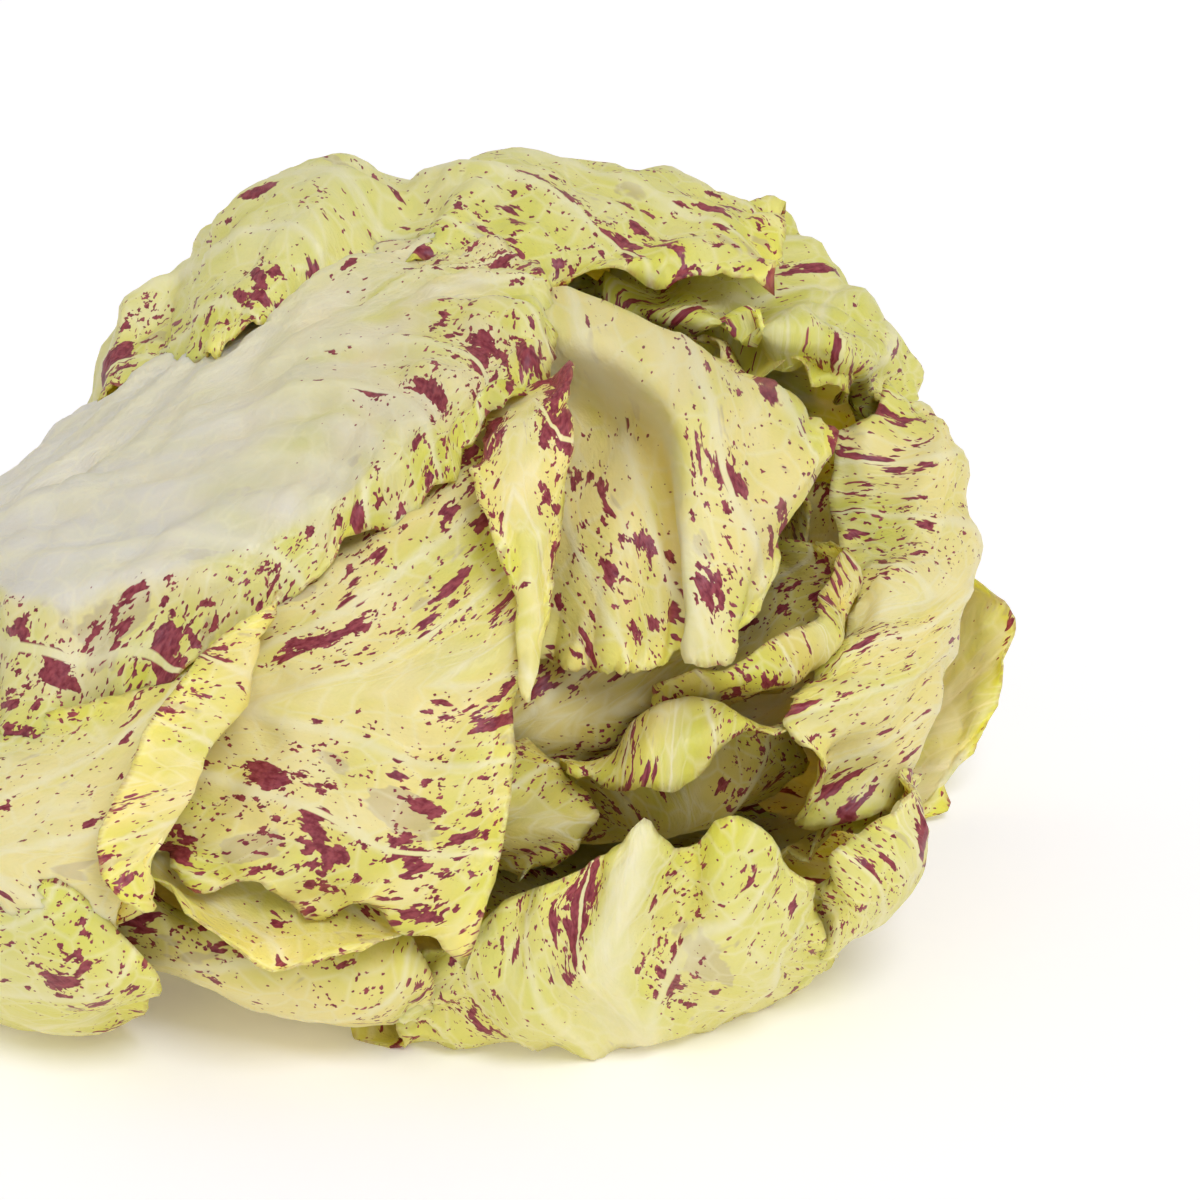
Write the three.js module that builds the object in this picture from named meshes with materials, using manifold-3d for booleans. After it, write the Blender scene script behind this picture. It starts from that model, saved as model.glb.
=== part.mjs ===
// A head of variegated radicchio, as cut in the field and laid on its side.
//
// The head is a rosette. Every leaf grows from one short stump at the left (-X) end, runs along the
// head and ends at the open crown at the right (+X) end. Outer leaves wrap the belly, the back and the
// ground side; their margins fold, roll and wave. Small leaves fill the heart.
//
// Frame: millimetres, +Z up, +X from the stump towards the crown. The origin is on the surface the head
// lies on, below the middle of its bounding box.
import * as THREE from "three";
import { mergeVertices } from "three/addons/utils/BufferGeometryUtils.js";
import Module from "manifold-3d";

const wasm = await Module();
wasm.setup();

// ---------------------------------------------------------------- driving dimensions, in mm
const BLADE = 0.9; // thickness of a leaf blade
const RIB = 3.4; // added thickness of the white midrib where it leaves the stump
const RIB_WIDTH = 0.16; // half width of the midrib, as a share of the leaf's width
const GAP = 0.35; // clear space kept between neighbouring solids
const LEAF_STEP = 12; // target edge length of a leaf's mesh
const TIP_FINENESS = 0.45; // share by which steps are shorter at the tip, and longer at the base
const WAVE_HEIGHT = 2; // ruffle at a leaf's margin
const WAVE_LENGTH = 34; // along the margin

// ---------------------------------------------------------------- the layout easel
// Leaves are laid out as seen by someone who stands to the right of the head's front, looks down on it
// and sees the crown three-quarters on: u is to their right, v is up in their view and w comes towards
// them. Nearer points look larger, so u and v shrink with w.
const VIEW_TURN = THREE.MathUtils.degToRad(20);
const VIEW_TILT = THREE.MathUtils.degToRad(22);
const EYE_DISTANCE = 1100;
const EASEL_CENTRE = new THREE.Vector3(55.4, 8, 55.7);
const EASEL_RIGHT = new THREE.Vector3(Math.cos(VIEW_TURN), Math.sin(VIEW_TURN), 0);
const EASEL_TOWARDS = new THREE.Vector3(
  Math.sin(VIEW_TURN) * Math.cos(VIEW_TILT),
  -Math.cos(VIEW_TURN) * Math.cos(VIEW_TILT),
  Math.sin(VIEW_TILT),
);
const EASEL_UP = new THREE.Vector3().crossVectors(EASEL_TOWARDS, EASEL_RIGHT);

function fromEasel([u, v, w]) {
  const shrink = 1 - w / EYE_DISTANCE;
  return EASEL_CENTRE.clone()
    .addScaledVector(EASEL_RIGHT, u * shrink)
    .addScaledVector(EASEL_UP, v * shrink)
    .addScaledVector(EASEL_TOWARDS, w);
}

// ---------------------------------------------------------------- the stump
const STUMP_HEART = fromEasel([-146, -19, -36]); // where the leaves' midribs meet
const CROWN_HEART = fromEasel([25, -4, 20]); // middle of the open crown
const STUMP_AXIS = CROWN_HEART.clone().sub(STUMP_HEART).normalize();
const STUMP_TOP = new THREE.Vector3(0, 0, 1)
  .addScaledVector(STUMP_AXIS, -STUMP_AXIS.z)
  .normalize();
const STUMP_FRONT = new THREE.Vector3().crossVectors(STUMP_TOP, STUMP_AXIS).negate();

// [along the axis, radius], from the middle of the cut face to the growing point
const STUMP_PROFILE = [
  [-20, 0],
  [-20, 14],
  [-14, 15],
  [-8, 13.6],
  [-2, 10.5],
  [5, 7],
  [13, 3.5],
  [17, 0],
];
const STUMP_SIDES = 24;

// The rings that leaves start from: [along the axis, radius], outermost first.
const WRAPPER_SEAT = [-18, 20];
const OUTER_SEAT = [-17, 16.6];
const MIDDLE_SEAT = [-5, 14.4];
const INNER_SEAT = [2, 10.6];
const HEART_SEAT = [8, 7];

// A point about the stump: turn is 0 at its top and 90 at its front, along runs towards the crown.
function onStump(turn, along, radius) {
  const a = THREE.MathUtils.degToRad(turn);
  return STUMP_HEART.clone()
    .addScaledVector(STUMP_AXIS, along)
    .addScaledVector(STUMP_TOP, Math.cos(a) * radius)
    .addScaledVector(STUMP_FRONT, Math.sin(a) * radius);
}

// ---------------------------------------------------------------- smooth nets
// Cubic through points at rising knots. Tangents come from the neighbouring spans, so uneven spacing
// doesn't overshoot.
function cubicAt(points, knots, x) {
  const last = points.length - 1;
  let i = 0;
  while (i < last - 1 && x > knots[i + 1]) i++;
  const slope = (k) =>
    points[k + 1].clone().sub(points[k]).divideScalar(knots[k + 1] - knots[k]);
  const tangent = (k) => {
    if (k === 0) return slope(0);
    if (k === last) return slope(last - 1);
    const before = knots[k] - knots[k - 1];
    const after = knots[k + 1] - knots[k];
    return slope(k - 1)
      .multiplyScalar(after)
      .addScaledVector(slope(k), before)
      .divideScalar(before + after);
  };
  const span = knots[i + 1] - knots[i];
  const t = (x - knots[i]) / span;
  const t2 = t * t;
  const t3 = t2 * t;
  return points[i]
    .clone()
    .multiplyScalar(2 * t3 - 3 * t2 + 1)
    .addScaledVector(tangent(i), (t3 - 2 * t2 + t) * span)
    .addScaledVector(points[i + 1], 3 * t2 - 2 * t3)
    .addScaledVector(tangent(i + 1), (t3 - t2) * span);
}

// Knots that follow the mean distance between neighbours, in mm.
function knotsOf(lines) {
  const knots = [0];
  for (let k = 1; k < lines[0].length; k++) {
    const mean =
      lines.reduce((sum, line) => sum + line[k].distanceTo(line[k - 1]), 0) / lines.length;
    knots.push(knots[k - 1] + Math.max(mean, 1));
  }
  return knots;
}

const smooth = (x) => THREE.MathUtils.smoothstep(x, 0, 1);
const ripple = (x) => 0.65 * Math.sin(x) + 0.35 * Math.sin(2.3 * x + 1);

// ---------------------------------------------------------------- leaves
// A large leaf is a net of easel points: one row across the leaf for each step from the stump to the
// tip. In a row the points run with rising turn about the stump. turn and spread give the middle and
// the half width of its base on the stump, in degrees, and seat is the ring that it starts from.
function rowsOf({ turn, spread, seat, net }) {
  const last = net[0].length - 1;
  const base = net[0].map((_, k) => onStump(turn + spread * ((2 * k) / last - 1), ...seat));
  return [base, ...net.map((row) => row.map(fromEasel))];
}

function leafSurface({ rows, wave = 1, phase = 0 }) {
  const columns = rows[0].map((_, k) => rows.map((row) => row[k]));
  const acrossKnots = knotsOf(rows);
  const lengthKnots = knotsOf(columns);
  const width = acrossKnots.at(-1);
  const length = lengthKnots.at(-1);
  const plain = (s, t) => {
    const row = rows.map((points) => cubicAt(points, acrossKnots, s * width));
    return cubicAt(row, lengthKnots, t * length);
  };
  const step = 0.004;
  const frame = (s, t) => {
    const across = plain(Math.min(s + step, 1), t).sub(plain(Math.max(s - step, 0), t)).normalize();
    const ahead = plain(s, Math.min(t + step, 1)).sub(plain(s, Math.max(t - step, 0))).normalize();
    return { across, ahead, normal: across.clone().cross(ahead).normalize() };
  };
  const ruffle = (s, t) => {
    const side = smooth((Math.abs(2 * s - 1) - 0.55) / 0.45);
    const tip = smooth((t - 0.8) / 0.2);
    const hand = s < 0.5 ? 0 : 2.1;
    const turns = (distance) => (distance * 2 * Math.PI) / WAVE_LENGTH;
    return (
      wave *
      WAVE_HEIGHT *
      smooth((t - 0.25) / 0.3) *
      (side * ripple(turns(t * length) + phase + hand) + tip * ripple(turns(s * width) + 2 * phase))
    );
  };
  return { plain, frame, ruffle, width, length };
}

// The closed solid of a leaf. room widens it on every side, for the space that its neighbours leave it.
function leafSolid(leaf, room = 0) {
  const { plain, frame, ruffle, width, length } = leafSurface(leaf);
  const across = Math.max(6, Math.round(width / LEAF_STEP));
  const steps = Math.max(8, Math.round(length / LEAF_STEP));
  const half = BLADE / 2 + room;
  const beyond = (k, last) => (k === 0 ? -room : k === last ? room : 0);
  const outer = [];
  const inner = [];
  for (let j = 0; j <= steps; j++) {
    for (let i = 0; i <= across; i++) {
      const s = i / across;
      const t = (j / steps) * (1 + TIP_FINENESS * (1 - j / steps));
      const { across: sideways, ahead, normal } = frame(s, t);
      const rib = (leaf.rib ?? RIB) * Math.exp(-(((s - 0.5) / RIB_WIDTH) ** 2)) * (1 - smooth(t / 0.8));
      const point = plain(s, t)
        .addScaledVector(normal, ruffle(s, t))
        .addScaledVector(sideways, beyond(i, across))
        .addScaledVector(ahead, beyond(j, steps));
      const up = point.clone().addScaledVector(normal, half + rib);
      const down = point.clone().addScaledVector(normal, -half);
      // what would sink into the surface that the head lies on is pressed flat against it
      const [high, low] = normal.z > 0 ? [up, down] : [down, up];
      high.z = Math.max(high.z, BLADE + room);
      low.z = Math.max(low.z, -room);
      outer.push(up);
      inner.push(down);
    }
  }
  return closedSheet(outer, inner, across + 1, steps + 1);
}

// Two like grids of points, joined round their rim. Both are split into triangles alike.
function closedSheet(outer, inner, across, rows) {
  const points = [];
  for (let j = 0; j + 1 < rows; j++) {
    for (let i = 0; i + 1 < across; i++) {
      const a = j * across + i;
      const b = a + 1;
      const c = b + across;
      const d = a + across;
      points.push(outer[a], outer[b], outer[c], outer[a], outer[c], outer[d]);
      points.push(inner[a], inner[c], inner[b], inner[a], inner[d], inner[c]);
    }
  }
  const rim = (a, b) =>
    points.push(outer[a], outer[b], inner[b], outer[a], inner[b], inner[a]);
  const top = (rows - 1) * across;
  for (let i = 0; i + 1 < across; i++) {
    rim(i + 1, i);
    rim(top + i, top + i + 1);
  }
  for (let j = 0; j + 1 < rows; j++) {
    rim(j * across, (j + 1) * across);
    rim((j + 2) * across - 1, (j + 1) * across - 1);
  }
  return solidOf(new THREE.BufferGeometry().setFromPoints(points));
}

function solidOf(geometry) {
  for (const name of ["normal", "uv"]) geometry.deleteAttribute(name);
  const merged = mergeVertices(geometry, 1e-4);
  return new wasm.Manifold(
    new wasm.Mesh({
      numProp: 3,
      vertProperties: merged.getAttribute("position").array,
      triVerts: new Uint32Array(merged.index.array),
    }),
  );
}

// Outermost first: what comes later gives way to what came before.
const LEAVES = [
  {
    name: "leaf_low_left",
    turn: 128,
    spread: 28,
    seat: WRAPPER_SEAT,
    colour: 0xe2e2b4,
    net: [
      [[-122, -36, 10], [-122, -44, 6], [-122, -48, -4], [-120, -50, -14], [-118, -48, -22]],
      [[-100, -46, 56], [-100, -58, 54], [-100, -67, 42], [-100, -70, 26], [-100, -62, 5]],
      [[-86, -47, 62], [-85, -60, 60], [-85, -70, 46], [-86, -72, 32], [-86, -63, 8]],
      [[-74, -52, 58], [-73, -60, 56], [-74, -67, 46], [-76, -69, 36], [-78, -62, 15]],
    ],
  },
  {
    name: "leaf_shoulder",
    turn: 20,
    spread: 45,
    seat: OUTER_SEAT,
    colour: 0xe9ead2,
    net: [
      [[-118, -2, -52], [-115, 5, -32], [-112, 2, -5], [-110, -8, 15], [-112, -22, 20]],
      [[-106, 12, -52], [-100, 21, -20], [-98, 10, 20], [-97, -2, 43], [-98, -28, 48]],
      [[-80, 28, -56], [-76, 38, -25], [-74, 22, 18], [-73, 5, 48], [-76, -15, 54]],
      [[-50, 48, -48], [-46, 56, -18], [-40, 42, 18], [-38, 24, 44], [-44, 11, 53]],
      [[-26, 55, -32], [-22, 59, -6], [-18, 48, 26], [-22, 34, 42], [-27, 24, 50]],
      [[-14, 57, -10], [-8, 54, 10], [-7, 47, 26], [-10, 40, 38], [-18, 34, 46]],
    ],
  },
  {
    name: "leaf_crown_fold",
    turn: -62,
    spread: 38,
    seat: OUTER_SEAT,
    colour: 0xdfe0a0,
    net: [
      [[-114, -32, -60], [-114, -18, -68], [-114, -8, -66], [-114, 0, -58], [-114, 2, -50], [-114, 0, -44]],
      [[-92, -24, -74], [-90, -4, -82], [-88, 8, -74], [-87, 14, -62], [-86, 16, -52], [-86, 14, -46]],
      [[-84, -18, -80], [-83, 8, -86], [-80, 33, -72], [-78, 51, -46], [-80, 42, -34], [-82, 35, -26]],
      [[-76, -16, -84], [-75, 12, -89], [-72, 37, -77], [-70, 56, -51], [-71, 45, -36], [-72, 36, -23]],
      [[-68, -15, -86], [-66, 15, -90], [-66, 42, -72], [-66, 61, -42], [-68, 51, -22], [-68, 40, -7]],
      [[-42, -12, -88], [-42, 20, -92], [-43, 55, -70], [-43, 74, -34], [-47, 62, -14], [-56, 45, -4]],
      [[-31, -12, -87], [-31, 20, -91], [-32, 54, -68], [-33, 69, -34], [-35, 62, -16], [-43, 50, -7]],
      [[-16, -12, -86], [-16, 22, -90], [-18, 58, -66], [-20, 74, -30], [-22, 66, -12], [-28, 56, -2]],
      [[10, -12, -80], [10, 20, -84], [9, 54, -62], [8, 71, -30], [3, 62, -10], [-3, 53, 0]],
      [[20, -12, -76], [37, 12, -70], [36, 42, -56], [30, 66, -30], [32, 60, -14], [32, 54, -2]],
    ],
  },
  {
    name: "leaf_ground_front",
    turn: 170,
    spread: 30,
    seat: OUTER_SEAT,
    colour: 0xdde0a0,
    net: [
      [
        [-118, -48, -8], [-114, -50, -15], [-110, -50, -21], [-105, -48, -28],
        [-101, -46, -33], [-96, -44, -38], [-92, -42, -44],
      ],
      [
        [-72, -59, 14], [-57, -58, 6], [-43, -57, 0], [-30, -58, -5],
        [-17, -57, -9], [-3, -55, -14], [10, -54, -16],
      ],
      [
        [-33, -73, 34], [-20, -73, 36], [-8, -74, 37], [5, -73, 37],
        [17, -71, 33], [29, -66, 26], [40, -59, 16],
      ],
      [
        [-34, -68, 41], [-20, -66, 47], [-9, -66, 50], [0, -61, 55],
        [11, -61, 50], [22, -59, 51], [37, -56, 34],
      ],
      [
        [-31, -62, 46], [-18, -57, 52], [-8, -53, 54], [3, -49, 60],
        [13, -50, 54], [22, -48, 57], [37, -50, 42],
      ],
      [
        [-27, -60, 49], [-15, -49, 53], [-2, -45, 56], [7, -37, 60],
        [15, -41, 55], [21, -35, 57], [35, -46, 46],
      ],
    ],
  },
  {
    name: "leaf_back",
    turn: 268,
    spread: 30,
    seat: WRAPPER_SEAT,
    colour: 0xd9e0a4,
    net: [
      [[-114, -42, -46], [-114, -34, -60], [-114, -22, -69], [-114, -10, -73], [-114, 0, -71]],
      [[-82, -38, -60], [-82, -27, -80], [-82, -11, -93], [-82, 7, -95], [-82, 21, -89]],
      [[-46, -38, -64], [-46, -24, -86], [-46, -6, -98], [-46, 14, -100], [-46, 30, -95]],
      [[-15, -36, -62], [-13, -23, -81], [-11, -6, -93], [-12, 12, -96], [-16, 26, -93]],
      [[-6, -34, -58], [-1, -21, -75], [2, -8, -88], [-2, 8, -94], [-8, 19, -93]],
    ],
  },
  {
    name: "leaf_far_right",
    turn: 232,
    spread: 30,
    seat: OUTER_SEAT,
    colour: 0xd8e0a0,
    net: [
      [[-88, -38, -28], [-86, -30, -52], [-84, -18, -70], [-82, -4, -78], [-80, 8, -76]],
      [[-5, -50, -6], [0, -42, -38], [2, -28, -64], [2, -8, -74], [0, 8, -74]],
      [[40, -46, -30], [46, -36, -56], [50, -20, -68], [50, -4, -72], [46, 10, -70]],
      [[56, -35, -58], [63, -24, -56], [68, -10, -52], [67, 0, -50], [60, 10, -50]],
    ],
  },
  {
    name: "leaf_left_turned",
    turn: 92,
    spread: 25,
    seat: OUTER_SEAT,
    colour: 0xe2dc90,
    net: [
      [[-120, -10, 12], [-120, -20, 20], [-120, -30, 24], [-120, -40, 22], [-120, -48, 14]],
      [[-100, -22, 44], [-99, -30, 54], [-98, -42, 60], [-98, -54, 56], [-100, -60, 36]],
      [[-80, -16, 50], [-80, -28, 58], [-80, -42, 63], [-82, -56, 58], [-84, -64, 34]],
      [[-58, -4, 52], [-66, -16, 59], [-73, -29, 63], [-79, -43, 63], [-80, -54, 57]],
      [[-52, 0, 56], [-59, -13, 63], [-66, -28, 67], [-73, -43, 67], [-76, -52, 62]],
      [[-60, 1, 60], [-72, -14, 67], [-78, -28, 71], [-84, -43, 71], [-80, -55, 65]],
    ],
  },
  {
    name: "leaf_heart_strip",
    turn: 60,
    spread: 20,
    seat: MIDDLE_SEAT,
    colour: 0xe4dc98,
    net: [
      [[-110, 0, 8], [-110, -9, 13], [-110, -18, 14]],
      [[-60, 22, 20], [-60, 14, 26], [-60, 6, 30]],
      [[-30, 31, 31], [-33, 24, 34], [-37, 17, 34]],
      [[-4.5, 38, 40], [-12, 33, 42], [-19, 28, 42]],
      [[-5, 32, 50], [-13, 29, 53], [-21, 25, 52]],
      [[-5.5, 17, 57], [-13, 17, 60], [-20.5, 17, 59]],
      [[-7, 6, 60], [-11, 6, 63], [-15.5, 6, 62]],
      [[-9, -6, 63], [-11.5, -6, 65], [-14, -6, 64]],
      [[-10.5, -16, 66], [-12, -17, 67], [-13.5, -16, 66]],
    ],
  },
  {
    name: "leaf_front_belly",
    turn: 98,
    spread: 34,
    seat: MIDDLE_SEAT,
    colour: 0xe0dc8c,
    net: [
      [[-118, -5, 5], [-116, -14, 12], [-115, -24, 16], [-115, -34, 14], [-116, -42, 8]],
      [[-75, 8, 32], [-70, -7, 46], [-66, -20, 52], [-68, -34, 54], [-74, -44, 51]],
      [[-45, 17, 37], [-42, 0, 54], [-40, -17, 60], [-42, -36, 62], [-46, -52, 57]],
      [[-27, 29, 36], [-23, 9, 53], [-20, -14, 61], [-21, -36, 65], [-25, -57, 60]],
      [[-16, 35, 34], [-15, 11, 52], [-13, -10, 60], [-15, -35, 65], [-18, -61, 60]],
    ],
  },
  {
    name: "leaf_belly_lip",
    turn: 118,
    spread: 24,
    seat: MIDDLE_SEAT,
    wave: 0.4,
    colour: 0xe6dc80,
    net: [
      [[-116, -20, 4], [-116, -26, 8], [-116, -32, 8], [-116, -38, 6], [-116, -43, 2]],
      [[-80, -20, 36], [-80, -30, 40], [-79, -38, 43], [-77, -44, 48], [-76, -46, 55]],
      [[-62, -22, 40], [-62, -34, 45], [-61, -44, 48], [-60, -53, 52], [-60, -59, 60]],
      [[-45, -26, 42], [-45, -36, 47], [-45, -46, 50], [-45, -54, 54], [-46, -60, 61]],
      [[-32, -34, 44], [-32, -42, 49], [-31, -48, 52], [-31, -54, 56], [-31, -58, 60]],
    ],
  },
  {
    name: "leaf_inner_lip",
    turn: 150,
    spread: 20,
    seat: MIDDLE_SEAT,
    colour: 0xe2dc90,
    net: [
      [[-105, -26, 4], [-105, -31, 2], [-105, -35, -4], [-104, -37, -12]],
      [[-58, -32, 28], [-58, -39, 28], [-57, -45, 22], [-55, -47, 10]],
      [[-30, -27, 36], [-30, -34, 38], [-29, -41, 36], [-28, -45, 28]],
      [[-17, -24, 42], [-17, -32, 46], [-16, -40, 44], [-14, -45, 38]],
      [[-8, -24, 38], [-6, -32, 41], [-5, -40, 42], [-5, -44, 38]],
      [[-3, -29, 36], [-1, -35, 39], [-1, -40, 40], [-2, -43, 38]],
    ],
  },
  {
    name: "leaf_under_belly",
    turn: 145,
    spread: 25,
    seat: MIDDLE_SEAT,
    colour: 0xe2dc90,
    net: [
      [[-116, -30, 4], [-116, -36, 6], [-116, -42, 4], [-116, -46, -2], [-114, -48, -8]],
      [[-73, -50, 42], [-73, -55, 46], [-72, -61, 42], [-70, -62, 30], [-68, -58, 10]],
      [[-50, -54, 46], [-50, -61, 50], [-51, -68, 46], [-50, -69, 32], [-48, -60, 6]],
      [[-34, -54, 48], [-34, -61, 51], [-35, -68, 46], [-34, -70, 32], [-30, -62, 8]],
      [[-27, -55, 50], [-27, -59, 52], [-28, -64, 48], [-28, -68, 38], [-26, -64, 22]],
    ],
  },
  {
    name: "leaf_top_right",
    turn: -40,
    spread: 36,
    seat: MIDDLE_SEAT,
    wave: 2.2,
    colour: 0xd8e090,
    net: [
      [[-92, -12, -56], [-90, -4, -64], [-88, 3, -64], [-86, 7, -57], [-84, 9, -48]],
      [[-18, -10, -64], [-20, 12, -70], [-22, 34, -64], [-24, 48, -52], [-26, 56, -38]],
      [[46, 20, -55], [40, 32, -56], [33, 45, -54], [24, 54, -50], [12, 56, -44]],
      [[53, 34, -44], [50, 43, -39], [41, 53, -41], [32, 64, -42], [17, 64, -40]],
      [[52, 33, -33], [44, 43, -22], [33, 49, -21], [21, 54, -24], [2, 55, -26]],
      [[50, 32, -27], [38, 42, -1], [28, 43.5, 4], [17, 46, -2], [-5, 51, -16]],
      [[48, 28, -28], [37, 39, -6], [28, 40.5, -5], [16, 44, -8], [-7, 49, -19]],
      [[46, 25, -29], [37, 35.5, -3], [28, 37.5, -1], [16, 42, -7], [-8, 48, -20]],
    ],
  },
  {
    name: "leaf_right_wall",
    turn: 252,
    spread: 42,
    seat: MIDDLE_SEAT,
    colour: 0xe0dc98,
    net: [
      [[-88, -24, -20], [-88, -20, -36], [-87, -12, -48], [-86, -2, -54], [-84, 6, -52]],
      [[-10, -46, 0], [-5, -36, -30], [0, -20, -52], [2, -2, -58], [2, 15, -56]],
      [[36, -42, 18], [48, -28, -8], [54, -8, -26], [52, 10, -34], [44, 24, -36]],
      [[46, -36, 22], [57, -12, 12], [61.5, 9, -4], [57, 31, -15], [47, 36, -21]],
      [[34, -37, 30], [50, -12, 24], [56, 4, 10], [55, 25, -5], [47, 32, -13]],
      [[36, -27, 34], [42, -11, 29], [50, 3, 15], [47, 19, 0], [42, 28, -8]],
      [[27, -22, 36], [33, -14, 30], [43, 1, 14], [37, 15, 2], [36, 26, -6]],
    ],
  },
  {
    name: "leaf_roll_right",
    turn: 200,
    spread: 20,
    seat: MIDDLE_SEAT,
    colour: 0xdde0a0,
    net: [
      [[-92, -34, -8], [-91, -34, -16], [-90, -32, -24], [-88, -29, -32], [-86, -25, -38]],
      [[-5, -54, 20], [5, -51, 8], [14, -45, -4], [18, -38, -14], [18, -32, -22]],
      [[30, -62, 20], [40, -58, 30], [46, -54, 24], [50, -46, 10], [50, -40, -5]],
      [[34, -48, 34], [42, -50, 42], [50, -44, 36], [54, -36, 20], [53, -30, 4]],
      [[32, -42, 34], [38, -42, 40], [47, -36, 38], [52, -28, 28], [52, -24, 12]],
    ],
  },
  {
    name: "leaf_ribbon",
    turn: 180,
    spread: 30,
    seat: INNER_SEAT,
    colour: 0xe6de9c,
    net: [
      [[-95, -32, -2], [-95, -36, -10], [-95, -36, -18], [-94, -34, -26], [-94, -30, -32], [-94, -26, -38]],
      [[-44, -38, 12], [-38, -39, 6], [-30, -39, 0], [-20, -37, -6], [-10, -34, -12], [0, -30, -16]],
      [[-8, -33, 22], [0, -36, 24], [9, -37, 24], [18, -36, 22], [26, -32, 18], [34, -27, 12]],
      [[-6, -28, 42], [2, -25, 44], [8, -21.5, 45], [15, -18.8, 43], [22, -19.5, 40], [31, -18.5, 33]],
      [[-6, -28.5, 44], [2, -28, 47.5], [8, -27.5, 49], [15, -24, 46.5], [22, -21.5, 43], [31, -20, 37]],
      [[-5.5, -29, 44], [1.5, -32, 47], [8, -33.5, 48], [15, -28.5, 46], [22, -23.5, 43], [31, -21.5, 37]],
    ],
  },
  {
    name: "leaf_heart_arched",
    turn: 15,
    spread: 60,
    seat: INNER_SEAT,
    wave: 0.5,
    colour: 0xefe9c0,
    net: [
      [
        [-100, 2, -40], [-100, 6, -34], [-100, 8, -26], [-100, 8, -18],
        [-100, 4, -10], [-100, 0, -4], [-100, -4, 2],
      ],
      [
        [-50, 32, -30], [-50, 35, -20], [-50, 36, -10], [-50, 33, 0],
        [-50, 28, 6], [-50, 18, 12], [-50, 6, 16],
      ],
      [[-7, 50, -4], [-4, 51, 8], [-5, 48, 18], [-7, 44, 24], [-9, 31, 17], [-10, 15, 37], [-12, -9, 40]],
      [[17, 42, 12], [15, 42, 24], [10, 40, 33], [6, 38, 35], [1, 29, 22], [-3, 15, 41], [-6, -11, 44]],
      [[33, 33, 20], [27, 32, 34], [19, 30, 45], [13.5, 29, 48], [8, 25, 31], [4, 14, 45], [0, -12, 46]],
      [[38, 25, 26], [28, 17, 44], [21, 14, 52], [14.5, 14, 53], [12.5, 15, 42], [9, 8, 46], [6, -12, 47]],
      [[32, 12, 34], [28, 10, 42], [22, 8, 52], [15, 8, 54], [14, 6, 48], [12, 1, 46], [10, -11, 47]],
      [
        [28, -2, 39], [25, 0, 43], [21, 0, 53], [15.5, -1, 55],
        [14.5, -2, 50], [13.5, -4, 48], [12.5, -10, 47],
      ],
      [
        [24, -5, 41], [22, -9, 46], [20, -11, 51], [16, -11, 52],
        [15.5, -10, 50], [15, -10, 48], [14.5, -11, 47],
      ],
    ],
  },
  {
    name: "leaf_heart_back",
    turn: 300,
    spread: 42,
    seat: INNER_SEAT,
    colour: 0xe0dc90,
    net: [
      [[-100, -14, -38], [-100, -6, -44], [-100, 2, -44], [-100, 7, -40], [-100, 9, -32]],
      [[-45, -6, -36], [-45, 6, -42], [-46, 18, -40], [-48, 27, -34], [-50, 33, -26]],
      [[2, -4, -34], [2, 12, -44], [0, 26, -40], [-2, 38, -30], [-4, 46, -16]],
      [[28, 2, -18], [30, 14, -26], [28, 26, -24], [24, 36, -16], [18, 42, -4]],
      [[34, 6, -6], [36, 14, -10], [34, 22, -8], [30, 30, -2], [24, 36, 4]],
    ],
  },
  {
    name: "leaf_heart_cup",
    turn: 262,
    spread: 50,
    seat: INNER_SEAT,
    colour: 0xe4d878,
    net: [
      [[-100, -22, -14], [-100, -22, -26], [-100, -18, -38], [-100, -10, -44], [-100, 0, -46]],
      [[-40, -26, 10], [-40, -26, -4], [-38, -20, -18], [-36, -10, -28], [-34, 2, -32]],
      [[5, -22, 28], [14, -20, 18], [22, -14, 8], [26, -4, 0], [26, 8, -4]],
      [[12, -15, 42], [27, -10, 38], [38, -5, 30], [42, 3, 22], [37, 11, 14]],
      [[14, -14, 43], [26, -8, 38], [36, -2, 30], [38, 5, 23], [33, 12, 16]],
    ],
  },
  {
    name: "leaf_heart_wall",
    turn: 130,
    spread: 50,
    seat: INNER_SEAT,
    colour: 0xefe9c0,
    net: [
      [[-100, -8, 2], [-100, -14, 2], [-100, -20, -2], [-100, -24, -8], [-100, -26, -16]],
      [[-50, 0, 28], [-50, -10, 32], [-50, -20, 28], [-50, -28, 20], [-50, -32, 8]],
      [[-18, 0, 28], [-17, -10, 35], [-15, -21, 37], [-14, -30, 30], [-14, -32, 18]],
      [[2, 2, 27], [4, -7, 34], [5, -15, 35], [4, -22, 31], [2, -27, 22]],
      [[15, 2, 26], [17, -4, 31], [18, -9, 32], [16, -15, 29], [12, -21, 23]],
    ],
  },
];

function meshOf(name, solid, colour) {
  const { vertProperties, triVerts, numProp } = solid.getMesh();
  const geometry = new THREE.BufferGeometry()
    .setAttribute("position", new THREE.BufferAttribute(new Float32Array(vertProperties), numProp))
    .setIndex(new THREE.BufferAttribute(new Uint32Array(triVerts), 1));
  geometry.computeVertexNormals();
  const material = new THREE.MeshStandardMaterial({ color: colour, roughness: 0.5, metalness: 0 });
  const mesh = new THREE.Mesh(geometry, material);
  mesh.name = name;
  return mesh;
}

function stumpSolid() {
  const profile = STUMP_PROFILE.map(([along, radius]) => new THREE.Vector2(radius, along));
  const geometry = new THREE.LatheGeometry(profile, STUMP_SIDES);
  const turned = new THREE.Quaternion().setFromUnitVectors(new THREE.Vector3(0, 1, 0), STUMP_AXIS);
  geometry.applyQuaternion(turned).translate(...STUMP_HEART);
  return solidOf(geometry);
}

const largestBody = (solid) =>
  solid.decompose().reduce((a, b) => (a.volume() > b.volume() ? a : b));

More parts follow.
